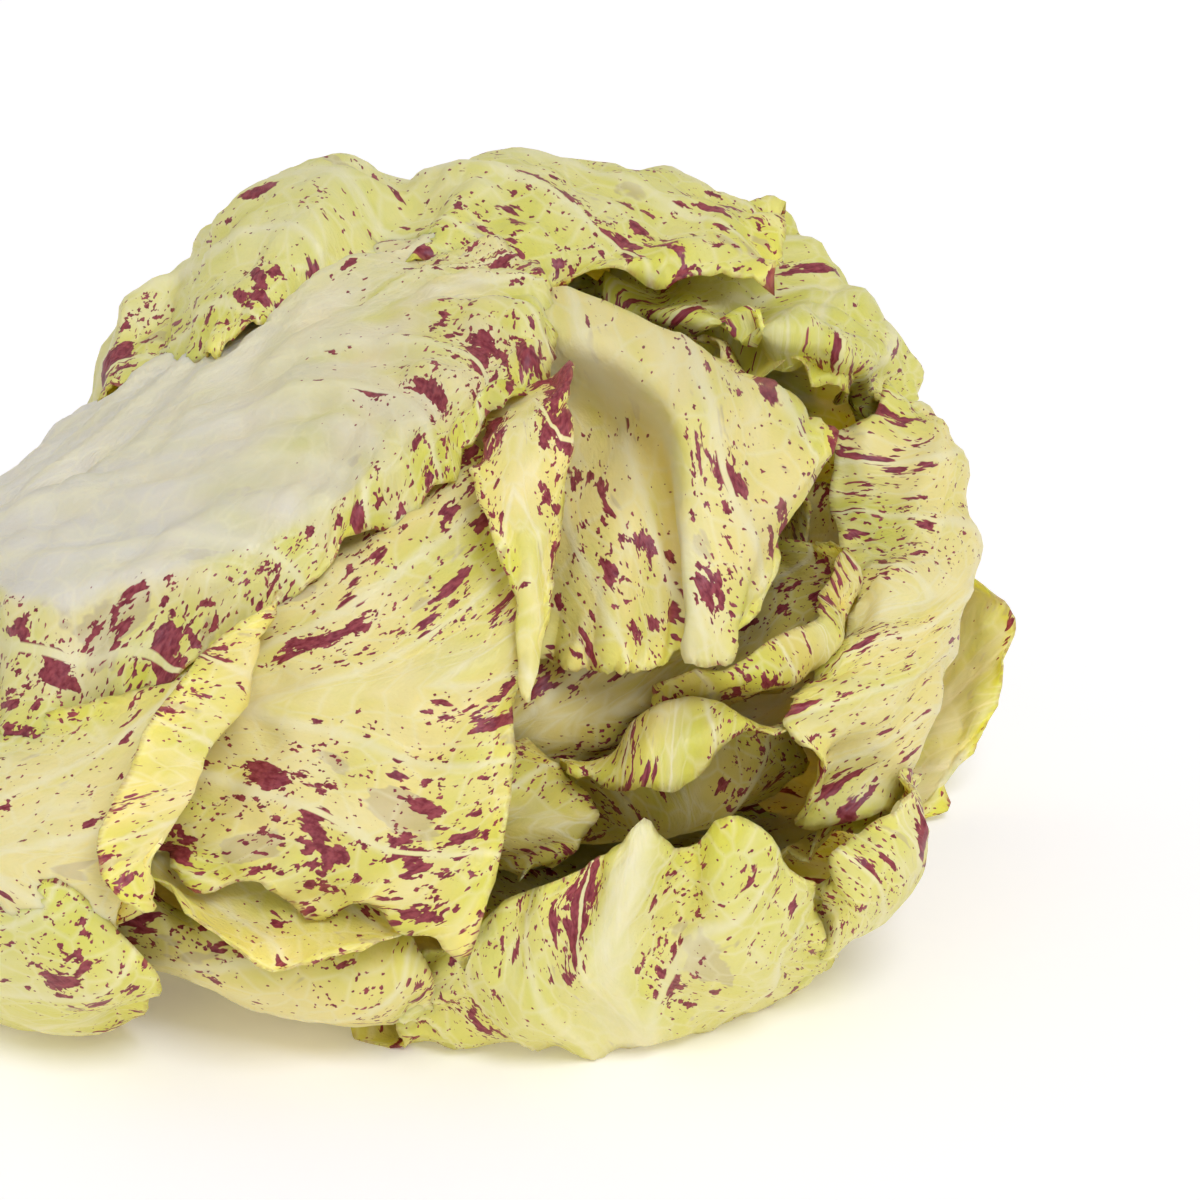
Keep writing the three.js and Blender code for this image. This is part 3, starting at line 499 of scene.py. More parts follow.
            30, -62, 20,  40, -58, 30,  46, -54, 24,  50, -46, 10,  50, -40, -5,
            34, -48, 34,  42, -50, 42,  50, -44, 36,  54, -36, 20,  53, -30, 4,
            32, -42, 34,  38, -42, 40,  47, -36, 38,  52, -28, 28,  52, -24, 12,
        ),
    ),
    Leaf(
        name="leaf_ribbon", turn=180, spread=30, seat=INNER_SEAT,
        # golden tone: its blade is darkened as painted shade of the hollow under it
        tone="golden", flecks=0.6, white=0.1, crumple=0.8, frill=0.7, round=0.02,
        net=net_of(6,
            -95, -32, -2,  -95, -36, -10,  -95, -36, -18,  -94, -34, -26,  -94, -30, -32,  -94, -26, -38,
            -44, -38, 12,  -38, -39, 6,  -30, -39, 0,  -20, -37, -6,  -10, -34, -12,  0, -30, -16,
            -8, -33, 22,  0, -36, 24,  9, -37, 24,  18, -36, 22,  26, -32, 18,  34, -27, 12,
            -6, -28, 42,  2, -25, 44,  8, -21.5, 45,  15, -18.8, 43,  22, -19.5, 40,  31, -18.5, 33,
            -6, -28.5, 44,  2, -28, 47.5,  8, -27.5, 49,  15, -24, 46.5,  22, -21.5, 43,  31, -20, 37,
            -5.5, -29, 44,  1.5, -32, 47,  8, -33.5, 48,  15, -28.5, 46,  22, -23.5, 43,  31, -21.5, 37,
        ),
    ),
    Leaf(
        name="leaf_heart_arched", turn=15, spread=60, seat=INNER_SEAT,
        wave=0.5, white=0.12, green=0.05, flecks=0.62, crumple=0.7, pleats=0.6, rib=1.5, fan=3.0,
        lobes=0.3, curls=0.6, drape=True,
        patches=(
            (0.409, 0.87, 1.2, 5), (0.318, 0.88, 2.2, 5), (0.727, 0.767, 1.8, 3), (0.727, 0.8, 1, 2),
            (0.795, 0.866, 1, 3.5), (0.795, 0.895, 1.2, 3.5), (0.864, 0.855, 1, 4),
            (0.727, 0.919, 0.8, 2), (0.409, 0.96, 4.5, 5.5),
        ),
        stains=((0.409, 0.925, 3, 3),),
        net=net_of(7,
            -100, 2, -40,  -100, 6, -34,  -100, 8, -26,  -100, 8, -18,  -100, 4, -10,  -100, 0, -4,
                -100, -4, 2,
            -50, 32, -30,  -50, 35, -20,  -50, 36, -10,  -50, 33, 0,  -50, 28, 6,  -50, 18, 12,
                -50, 6, 16,
            -7, 50, -4,  -4, 51, 8,  -5, 48, 18,  -7, 44, 24,  -9, 31, 17,  -10, 15, 37,  -12, -9, 40,
            17, 42, 12,  15, 42, 24,  10, 40, 33,  6, 38, 35,  1, 29, 22,  -3, 15, 41,  -6, -11, 44,
            33, 33, 20,  27, 32, 34,  19, 30, 45,  13.5, 29, 48,  8, 25, 31,  4, 14, 45,  0, -12, 46,
            38, 25, 26,  28, 17, 44,  21, 14, 52,  14.5, 14, 53,  12.5, 15, 42,  9, 8, 46,  6, -12, 47,
            32, 12, 34,  28, 10, 42,  22, 8, 52,  15, 8, 54,  14, 6, 48,  12, 1, 46,  10, -11, 47,
            28, -2, 39,  25, 0, 43,  21, 0, 53,  15.5, -1, 55,  14.5, -2, 50,  13.5, -4, 48,
                12.5, -10, 47,
            24, -5, 41,  22, -9, 46,  20, -11, 51,  16, -11, 52,  15.5, -10, 50,  15, -10, 48,
                14.5, -11, 47,
        ),
    ),
    Leaf(
        name="leaf_heart_back", turn=300, spread=42, seat=INNER_SEAT,
        # golden tone: its blade is darkened as painted shade of the crown's hollows
        tone="golden", flecks=0.6, white=0.0,
        net=net_of(5,
            -100, -14, -38,  -100, -6, -44,  -100, 2, -44,  -100, 7, -40,  -100, 9, -32,
            -45, -6, -36,  -45, 6, -42,  -46, 18, -40,  -48, 27, -34,  -50, 33, -26,
            2, -4, -34,  2, 12, -44,  0, 26, -40,  -2, 38, -30,  -4, 46, -16,
            28, 2, -18,  30, 14, -26,  28, 26, -24,  24, 36, -16,  18, 42, -4,
            34, 6, -6,  36, 14, -10,  34, 22, -8,  30, 30, -2,  24, 36, 4,
        ),
    ),
    Leaf(
        name="leaf_heart_cup", turn=262, spread=50, seat=INNER_SEAT,
        # golden tone: its blade is darkened as painted shade of the crown's hollows
        tone="golden", flecks=0.65, white=0.1,
        net=net_of(5,
            -100, -22, -14,  -100, -22, -26,  -100, -18, -38,  -100, -10, -44,  -100, 0, -46,
            -40, -26, 10,  -40, -26, -4,  -38, -20, -18,  -36, -10, -28,  -34, 2, -32,
            5, -22, 28,  14, -20, 18,  22, -14, 8,  26, -4, 0,  26, 8, -4,
            12, -15, 42,  27, -10, 38,  38, -5, 30,  42, 3, 22,  37, 11, 14,
            14, -14, 43,  26, -8, 38,  36, -2, 30,  38, 5, 23,  33, 12, 16,
        ),
    ),
    Leaf(
        name="leaf_heart_wall", turn=130, spread=50, seat=INNER_SEAT,
        # golden tone: its blade is darkened as painted shade of the crown's hollows
        tone="golden", white=0.1, flecks=0.75, bare=0.0, pleats=2.5, crumple=1.5,
        net=net_of(5,
            -100, -8, 2,  -100, -14, 2,  -100, -20, -2,  -100, -24, -8,  -100, -26, -16,
            -50, 0, 28,  -50, -10, 32,  -50, -20, 28,  -50, -28, 20,  -50, -32, 8,
            -18, 0, 28,  -17, -10, 35,  -15, -21, 37,  -14, -30, 30,  -14, -32, 18,
            2, 2, 27,  4, -7, 34,  5, -15, 35,  4, -22, 31,  2, -27, 22,
            15, 2, 26,  17, -4, 31,  18, -9, 32,  16, -15, 29,  12, -21, 23,
        ),
    ),
)


# ---------------------------------------------------------------- how a leaf varies, lengths in mm
class Grain(NamedTuple):
    """Noise of one kind: the size of a feature both ways, and its seed, which a leaf adds its number to."""

    across: float
    along: float
    seed: int


WANDER = Grain(22, 22, 50)  # of the side veins
LONG_FRILL = Grain(5.5, 5.5, 60)
SHORT_FRILL = Grain(2.6, 2.6, 70)
BROAD_CRUMPLE = Grain(12, 12, 80)
FINE_CRUMPLE = Grain(5, 5, 90)
PLEAT = Grain(6, 26, 100)  # between veins, and along them
SWELL = Grain(4, 4, 110)  # of the blade between veins
CLOUD = Grain(9, 9, 120)  # in the bleached tissue
HUE = Grain(12, 12, 130)  # from yellow to green
GATHER = Grain(7, 12, 140)  # of flecks, between veins and along them
STREAK = Grain(3, 22, 150)  # of paler tissue along the veins

LOBE_DEPTH, LOBE_LENGTH = 1.6, 9  # the uneven outline
TOOTH_LENGTH = 2.5
OUTLINE_GROWN = 0.35  # share of the length by which the outline has its full lobes
FAR_HAND = 40.0  # where the noise of the second margin is read, well away from the first

# (where it starts, over how much it grows), as shares of the half width or the length
SIDE_WAVES = (0.55, 0.45)
TIP_WAVES = (0.8, 0.2)
LONG_WAVES = (0.25, 0.3)
SHORT_RELIEF = (0.12, 0.25)
PHASE_STEP = 1.7  # between leaves, in radians
SIDE_LAG = 2.1  # of the second margin's waves, in radians
RIM = 13  # width of the ruffled rim

VEIN_WANDER = 2.5
VEIN_TURN = 0.375  # power by which side veins bend away from the midrib
TAPER = 6  # from the margin, over which a blade gets its full thickness
RIB_END = 0.8  # share of the length where the midrib is flat
VEIN_WIDTH, VEIN_GAIN, VEIN_REACH = 0.7, 1.2, 45  # half width at the margin, and how it grows inwards
VEIN_FURROW = 0.15  # behind a side vein

WHITE_RIB, WHITE_RIB_GAIN = 2.5, 7  # half width of the white midrib at the tip, and how it grows
WHITE_BASE = 0.3  # share of the length that is white next to the stump
GREEN_RIM = 20  # width of the greener rim
BARE_RIB = 2.5  # half width of the part of a midrib that has no flecks
FINISH_STEP = 17.3  # between the places where two leaves read their flecks


def grain(kind, x, y, index):
    return noise(x / kind.across, y / kind.along, index + kind.seed)


def rise(x, start, growth):
    return ease((x - start) / growth)


class Lie(NamedTuple):
    """Where the points of a leaf's grid are on it: shares of its net, then lengths in mm."""

    s: np.ndarray  # across the net
    t: np.ndarray  # along it
    across: np.ndarray
    along: np.ndarray
    x: np.ndarray  # from the midrib
    y: np.ndarray  # from the base
    margin: np.ndarray  # from the nearest margin
    vein_across: np.ndarray  # across the side veins
    vein_along: np.ndarray  # along them


class Blade(NamedTuple):
    """A laid leaf: its two faces as grids of points, and what its finish reads at each point."""

    outer: np.ndarray
    inner: np.ndarray
    vein_place: np.ndarray  # mm across the side veins, mm along them, and the leaf's own offset
    tint: np.ndarray  # bleached, green and wine shares
    lie: np.ndarray  # mm from the margin, mm from the midrib, and how stained it is


def rows_of(leaf):
    """The leaf's net with its base ring on the stump, in mm."""
    last = len(leaf.net[0]) - 1
    base = [on_stump(leaf.turn + leaf.spread * (2 * k / last - 1), *leaf.seat) for k in range(last + 1)]
    return np.array([base, *([from_easel(point) for point in row] for row in leaf.net)])


def spread_grid(rows, looks, index, shape):
    """The grid of points of a smooth leaf, with its s, t, across and along.

    The tip's corners are rounded, and lobes and small teeth run along the margins.
    """
    across_knots, along_knots = knots_of(rows), knots_of(rows.swapaxes(0, 1))
    width, length = across_knots[-1], along_knots[-1]
    step, tooth, lobe = shape.mesh_step / MM, shape.tooth / MM, LOBE_DEPTH * looks.lobes
    a = np.linspace(0, 1, 2 * max(4, round(width / step / 2)) + 1)[None, :]
    b = np.linspace(0, 1, max(8, round(length / step)) + 1)[:, None]
    hand = np.where(a < 0.5, 0, FAR_HAND)
    side = lobe * noise(b * length / LOBE_LENGTH, hand, index)
    side = side + tooth * noise(b * length / TOOTH_LENGTH, hand + 5, index)
    front = lobe * noise(a * width / LOBE_LENGTH, 0 * a + 9, index)
    front = front + tooth * noise(a * width / TOOTH_LENGTH, 0 * a + 12, index)
    corner = abs(2 * a - 1) ** 4
    s = 0.5 + (a - 0.5) * (1 + 2 * ease(b / OUTLINE_GROWN) * side * corner / width)
    t = b * (1 - looks.round * corner + front * b**6 / length)
    across, along = s * width + 0 * b, t * length
    place = spline(np.stack([spline(row, across_knots, across) for row in rows]), along_knots, along)
    return place, s, t, across, along


def lie_of(place, s, t, across, along, looks, index):
    """Measure the smooth leaf, and run its side veins out from the midrib or down a draped leaf."""
    from_side = run_of(place, 1)
    middle = place.shape[1] // 2
    x = from_side - from_side[:, middle : middle + 1]
    y = run_of(place, 0)
    y = 0.5 * (y + y.mean(axis=1, keepdims=True))
    near_side = np.minimum(from_side, from_side[:, -1:] - from_side)
    margin = np.minimum(near_side, y[-1:] - y)
    wander = VEIN_WANDER * grain(WANDER, x, y, index)
    if looks.drape:
        right, up = (place - EASEL_CENTRE) @ EASEL_RIGHT, (place - EASEL_CENTRE) @ EASEL_UP
        vein_across = right * math.cos(FALL) + up * math.sin(FALL) + wander
        vein_along = right * math.sin(FALL) - up * math.cos(FALL)
    else:
        veer = looks.fan * (x * x + 2) ** VEIN_TURN
        alternate = 0.5 * VEIN_SPACING * ease(x / 4 + 0.5)
        vein_across = (y - veer) / math.hypot(1, 0.4 * looks.fan) + alternate + wander
        vein_along = 0.87 * y + 0.5 * abs(x)
    return Lie(s, t, across, along, x, y, margin, vein_across, vein_along)


def relief_of(at, from_vein, looks, index, phase, shape):
    """How far each point rises: long waves, frills, crumples and pleats that die away at the base."""
    turns = 2 * np.pi / WAVE_LENGTH
    wave = rise(abs(2 * at.s - 1), *SIDE_WAVES) * ripple(
        turns * at.along + phase + np.where(at.s < 0.5, 0, SIDE_LAG)
    ) + rise(at.t, *TIP_WAVES) * ripple(turns * at.across + 2 * phase)
    rim = ease(1 - at.margin / RIM)
    hem = looks.hem + looks.flare * (1 - at.t)
    frill = rim * (
        0.6 * grain(LONG_FRILL, at.x, at.y, index) + 0.4 * grain(SHORT_FRILL, at.x, at.y, index)
    )
    crumple = 0.8 * grain(BROAD_CRUMPLE, at.x, at.y, index) + 0.45 * grain(FINE_CRUMPLE, at.x, at.y, index)
    pleat = grain(PLEAT, at.vein_across, at.vein_along, index)
    swell = ease(from_vein / 4.5) * (0.5 + 0.5 * grain(SWELL, at.x, at.y, index))
    short = (
        looks.frill * shape.frill / MM * 2 * frill
        + looks.crumple * 0.9 * crumple
        + looks.curls * rim**2 * ripple((at.x + at.y) * 2 * np.pi / CURL_LENGTH)
        - looks.crease * np.clip(1 - at.margin / hem, 0, 1)
        + looks.pleats * shape.pleat / MM * pleat
        - 0.35 * looks.crumple * swell
    )
    return looks.wave * shape.wave / MM * rise(at.t, *LONG_WAVES) * wave + rise(at.t, *SHORT_RELIEF) * short


def faces_of(place, at, from_vein, rib, shape):
    """The outer and the inner face: thin at the margin, with a midrib and side veins on the outer one."""
    normal = normals_of(place)
    thin = shape.margin + (shape.blade - shape.margin) * at.margin / TAPER
    blade = np.minimum(shape.blade, thin) / MM
    rib_height = rib * np.exp(-(((at.s - 0.5) / RIB_WIDTH) ** 2)) * (1 - ease(at.t / RIB_END))
    vein_width = VEIN_WIDTH + VEIN_GAIN * ease(at.margin / VEIN_REACH)
    vein = np.exp(-((from_vein / vein_width) ** 2)) * ease(abs(at.x) / 6) * ease(at.margin / 10)
    outer = place + normal * (blade / 2 + rib_height + shape.vein / MM * vein)[..., None]
    inner = place - normal * (blade / 2 - VEIN_FURROW * vein)[..., None]

    # what would sink into the surface that the head lies on is pressed flat against it
    upward = normal[..., 2] > 0
    outer[..., 2] = np.maximum(outer[..., 2], np.where(upward, blade, 0))
    inner[..., 2] = np.maximum(inner[..., 2], np.where(upward, 0, blade))
    return outer, inner


def spots(places, at):
    """How far each point lies inside the given spots: 1 at their middle, 0 well away."""
    share = np.zeros_like(at.x)
    last_row, last_column = at.x.shape[0] - 1, at.x.shape[1] - 1
    for share_across, share_along, half_across, half_along in places:
        middle = round(share_along * last_row), round(share_across * last_column)
        off = ((at.vein_across - at.vein_across[middle]) / half_across) ** 2
        off = off + ((at.vein_along - at.vein_along[middle]) / half_along) ** 2
        same_side = ease(1.5 - abs(at.x - at.x[middle]) / (2 * half_along))
        share = np.maximum(share, np.exp(-off) * same_side)
    return share


def tint_of(at, looks, index):
    """Bleached, green and wine shares: white ribs and bases, a greener hem, flecks that gather."""
    hem = looks.hem + looks.flare * (1 - at.t)
    core = ease((at.margin - hem) / (looks.hem * looks.fade) + 0.5)
    half_rib = looks.rib * (WHITE_RIB + WHITE_RIB_GAIN * (1 - at.t))
    midrib = np.exp(-((at.x / half_rib) ** 2)) * (1 - 0.75 * ease(at.t / 0.95) / looks.rib**2)
    tip = ease((at.t - looks.white_to) / 0.3 + 0.5)
    whole = looks.white * core * (1 - 0.6 * rise(at.t, 0.2, 0.8)) * (1 - tip)
    whole = whole + 0.9 * (1 - ease(at.t / WHITE_BASE))
    streak = grain(STREAK, at.vein_across, at.vein_along, index)
    cloud = grain(CLOUD, at.x, at.y, index)
    white = np.clip(np.maximum(whole, midrib) + 0.12 * cloud + 0.22 * streak, 0, 1)
    green = looks.green + 0.55 * ease(1 - at.margin / GREEN_RIM) + 0.5 * grain(HUE, at.x, at.y, index)
    green = np.clip(green - 0.25 * streak, 0, 1)
    gather = 0.16 * grain(GATHER, at.vein_across, at.vein_along, index)
    towards_margin = np.maximum(ease(1 - (at.margin - hem * 0.5) / hem), tip)
    wine = looks.flecks * (1 - looks.bare * (1 - towards_margin)) + gather + spots(looks.patches, at)
    wine = np.clip(wine - 0.5 * midrib - 0.6 * white - np.exp(-((at.x / BARE_RIB) ** 2)), -1, 2)
    return np.stack([white, green, wine], axis=2)


def lay_blade(rows, looks, index, shape, rib=None, phase=None):
    """Lay one blade through rows of points, and work out what its finish follows."""
    phase = PHASE_STEP * index if phase is None else phase
    place, *net_place = spread_grid(rows, looks, index, shape)
    at = lie_of(place, *net_place, looks, index)
    from_vein = abs((at.vein_across + VEIN_SPACING / 2) % VEIN_SPACING - VEIN_SPACING / 2)
    place = place + normals_of(place) * relief_of(at, from_vein, looks, index, phase, shape)[..., None]
    outer, inner = faces_of(place, at, from_vein, shape.rib / MM if rib is None else rib, shape)
    offset = np.full_like(at.x, FINISH_STEP * index)
    stain = 0.4 + 1.5 * spots(looks.stains, at)
    return Blade(
        outer,
        inner,
        np.stack([at.vein_across, at.vein_along, offset], axis=2),
        tint_of(at, looks, index),
        np.stack([at.margin, abs(at.x), stain], axis=2),
    )


def add_object(name, data):
    """Put a mesh, a lamp or a camera into the scene."""
    thing = bpy.data.objects.new(name, data)
    bpy.context.collection.objects.link(thing)
    return thing


def closed_sheet(name, blades):
    """One mesh object from blades: each has its two faces joined round the rim."""
    places, quads, vein_places, tints, lies = [], [], [], [], []
    start = 0
    for blade in blades:
        rows, columns = blade.outer.shape[:2]
        count = rows * columns
        outer = np.arange(count).reshape(rows, columns)
        inner = outer + count
        faces = [
            np.stack([outer[:-1, :-1], outer[:-1, 1:], outer[1:, 1:], outer[1:, :-1]], axis=2),
            np.stack([inner[:-1, :-1], inner[1:, :-1], inner[1:, 1:], inner[:-1, 1:]], axis=2),
        ]
        rim = np.concatenate([outer[0, ::-1], outer[1:, 0], outer[-1, 1:], outer[-2:0:-1, -1]])
        after = np.roll(rim, -1)
        band = np.stack([rim, after, after + count, rim + count], axis=1)
        quads.append(np.concatenate([*(face.reshape(-1, 4) for face in faces), band]) + start)
        for grid in (blade.outer, blade.inner):
            places.append(grid.reshape(-1, 3) * MM)
            vein_places.append(blade.vein_place.reshape(-1, 3))
            tints.append(blade.tint.reshape(-1, 3))
            lies.append(blade.lie.reshape(-1, 3))
        start += 2 * count
    quads = np.concatenate(quads).astype(np.int32)
    mesh = bpy.data.meshes.new(name)
    mesh.vertices.add(start)
    mesh.vertices.foreach_set("co", np.concatenate(places).astype(np.float32).ravel())
    mesh.loops.add(quads.size)
    mesh.loops.foreach_set("vertex_index", quads.ravel())
    mesh.polygons.add(len(quads))
    mesh.polygons.foreach_set("loop_start", np.arange(0, quads.size, 4, dtype=np.int32))
    mesh.update(calc_edges=True)
    for key, values in ((VEIN_PLACE, vein_places), (TINT, tints), (LIE, lies)):
        attribute = mesh.attributes.new(key, "FLOAT_VECTOR", "POINT")
        attribute.data.foreach_set("vector", np.concatenate(values).astype(np.float32).ravel())
    if mesh.validate():
        raise RuntimeError(f"the mesh of {name} has faulty faces")
    mesh.shade_smooth()
    return add_object(name, mesh)


def place_piece(piece, node, material):
    """Give a piece its finish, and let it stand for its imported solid."""
    piece.data.materials.append(material)
    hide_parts(node)
    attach(piece, "root")


# ---------------------------------------------------------------- the heart
# The innermost leaves stand round the axis as cups, each turned by the golden angle from the last.
HEART_LEAVES = 6
HEART_REACH = 158  # along the axis, of the outermost leaf
HEART_SHORTENING = 0.16  # share by which the innermost leaf is shorter
HEART_BELLY = 21  # greatest radius of the outermost leaf
HEART_NARROWING = 0.65  # share by which the innermost leaf is slimmer
HEART_SWELL = 1.9  # the part of a sine, in radians, that a cup's radius follows
HEART_CLOSING = 0.45  # share by which the tips lean in
HEART_SPREAD = 45  # half of the turn that a leaf covers at its base, in degrees
HEART_SPREAD_GAIN = 40  # how much more it covers in its middle
HEART_OVERLAP = 0.12  # share by which one margin lies outside its neighbour's
HEART_CORNER = 7  # how far the corners of a tip fall back
HEART_START = 40  # turn of the first leaf
GOLDEN_ANGLE = 137.5
HEART_STATIONS = (0, 0.2, 0.4, 0.6, 0.78, 0.92, 1)
HEART_TIPS = (0.75, 0.25)  # where they start to lean in, and over how much of the length
HEART_CORNERS = (0.6, 0.4)  # where the corners start to fall back, and over how much
HEART_WIDEST = 0.8
HEART_INDEX = 30  # its leaves are numbered on from here
HEART_RIB = 1.0
HEART_LOOKS = Leaf(
    name="heart", turn=0, spread=0, seat=HEART_SEAT, net=None, wave=0.8, white=0.3, flecks=0.55, hem=10,
    round=0.03,
)


def heart_rows(k):
    """The net of one leaf of the heart, in mm."""
    at, radius = HEART_SEAT
    inward = k / HEART_LEAVES
    reach = HEART_REACH * (1 - HEART_SHORTENING * inward)
    belly = HEART_BELLY * (1 - HEART_NARROWING * inward)
    middle = HEART_START + k * GOLDEN_ANGLE
    rows = []
    for t in HEART_STATIONS:
        lean = 1 - HEART_CLOSING * rise(t, *HEART_TIPS)
        cup = radius * (1 - inward) + belly * math.sin(HEART_SWELL * t) * lean
        spread = HEART_SPREAD + HEART_SPREAD_GAIN * math.sin(math.pi * min(t, HEART_WIDEST))
        row = []
        for side in (-1, -0.5, 0, 0.5, 1):
            dip = HEART_CORNER * side * side * rise(t, *HEART_CORNERS)
            along = at + (reach - at) * t - dip
            row.append(on_stump(middle + side * spread, along, cup * (1 + HEART_OVERLAP * side)))
        rows.append(row)
    return np.array(rows)


# ---------------------------------------------------------------- the stump
# (along the axis, radius), from the middle of the cut face to the growing point
STUMP_PROFILE = ((-20, 0), (-20, 14), (-14, 15), (-8, 13.6), (-2, 10.5), (5, 7), (13, 3.5), (17, 0))
STUMP_SIDES = 96
STUMP_STEP = 0.6
SCAR_HEIGHT, SCAR_LENGTH, SCARS_ROUND = 0.5, 1.6, 16  # left by leaves; the last is how many go round
SCAR_SEED = 7
GROOVE_DEPTH, GROOVE_PACE = 0.25, 2.1  # of the rings that the knife left; pace in radians per mm
LEAST_RADIUS = 0.1


def stump_mesh():
    """The turned stump with leaf scars round it, as points, faces and the place on it of each point."""
    points, places, stations, faces = [], [], [], []
    profile = [np.array(corner, float) for corner in STUMP_PROFILE]
    for start, end in zip(profile, profile[1:]):
        count = max(2, round(np.linalg.norm(end - start) / STUMP_STEP))
        stations += [start + (end - start) * k / count for k in range(count)]
    for along, radius in stations[1:]:
        on_face = along <= STUMP_PROFILE[0][0] + 1e-6
        groove = GROOVE_DEPTH * math.sin(radius * GROOVE_PACE) if on_face else 0
        for side in range(STUMP_SIDES):
            turn = 360 * side / STUMP_SIDES
            round_it = SCARS_ROUND / 2 * math.radians(turn) / math.pi + 20
            scar = noise(np.array(along / SCAR_LENGTH), np.array(round_it), SCAR_SEED)
            bulge = 0 if on_face else SCAR_HEIGHT * float(scar)
            points.append(on_stump(turn, along + groove, max(radius + bulge, LEAST_RADIUS)) * MM)
            places.append((radius, along, 1.0 if on_face else 0.0))
    rings = len(stations) - 1
    for ring in range(rings - 1):
        for side in range(STUMP_SIDES):
            a = ring * STUMP_SIDES + side
            b = ring * STUMP_SIDES + (side + 1) % STUMP_SIDES
            faces.append((a, b, b + STUMP_SIDES, a + STUMP_SIDES))
    faces.append(tuple(range(STUMP_SIDES - 1, -1, -1)))
    faces.append(tuple(range((rings - 1) * STUMP_SIDES, rings * STUMP_SIDES)))
    return points, faces, places


# ---------------------------------------------------------------- finishes
VEIN_PLACE = "vein_place"
TINT = "tint"
LIE = "lie"
STUMP_PLACE = "stump_place"


class Mark(NamedTuple):
    """One size of fleck: mm across and along the veins, and how rare and how sharp it is."""

    across: float
    along: float
    level: float
    edge: float
    detail: float


STREAKS = Mark(across=3.8, along=14, level=0.712, edge=0.012, detail=4)
FLECKS = Mark(across=1.9, along=4.4, level=0.705, edge=0.015, detail=3)
DOTS = Mark(across=0.8, along=1.2, level=0.745, edge=0.03, detail=1)
TAUPE = Mark(across=4.5, along=15, level=0.725, edge=0.035, detail=3)
WINE_GAIN = 0.17  # how far the wine share lowers a mark's level
NET_CELLS = (1 / 4.2, 1 / 6.5, 1)  # of small veins, about 4 by 7 mm
SKIN_GRAIN = (1.6, 0.8, 1)  # cells and pigment, under 1 mm wide
BUNDLE_RING = 9.5  # radius of the stump's ring of bundles, in mm


def put(tree, kind, inputs, **settings):
    """Add a shader node. inputs holds what each socket is set to, or the socket or node that feeds it."""
    node = tree.nodes.new("ShaderNode" + kind)
    for key, value in settings.items():
        setattr(node, key, value)
    for socket, value in inputs.items():
        if isinstance(value, bpy.types.Node):
            value = value.outputs[0]
        if isinstance(value, bpy.types.NodeSocket):
            tree.links.new(value, node.inputs[socket])
        else:
            node.inputs[socket].default_value = value
    return node


def blank(name):
    material = bpy.data.materials.new(name)
    material.use_nodes = True
    material.node_tree.nodes.clear()
    return material, material.node_tree


def rgba(colour):
    return (*colour, 1)


def marks_of(tree, vein, wine, mark):
    """0 to 1 over the blade: 1 inside the marks of one size."""
    scale = (1 / mark.across, 1 / mark.along, 1)
    at = put(tree, "VectorMath", {0: vein, 1: scale}, operation="MULTIPLY")
    look = {"Vector": at, "Scale": 1.0, "Detail": mark.detail, "Roughness": 0.55}
    pattern = put(tree, "TexNoise", look)
    lifted = put(tree, "Math", {0: wine, 1: WINE_GAIN, 2: pattern}, operation="MULTIPLY_ADD")
    ramp = {"Value": lifted, "From Min": mark.level, "From Max": mark.level + mark.edge}
    return put(tree, "MapRange", ramp)


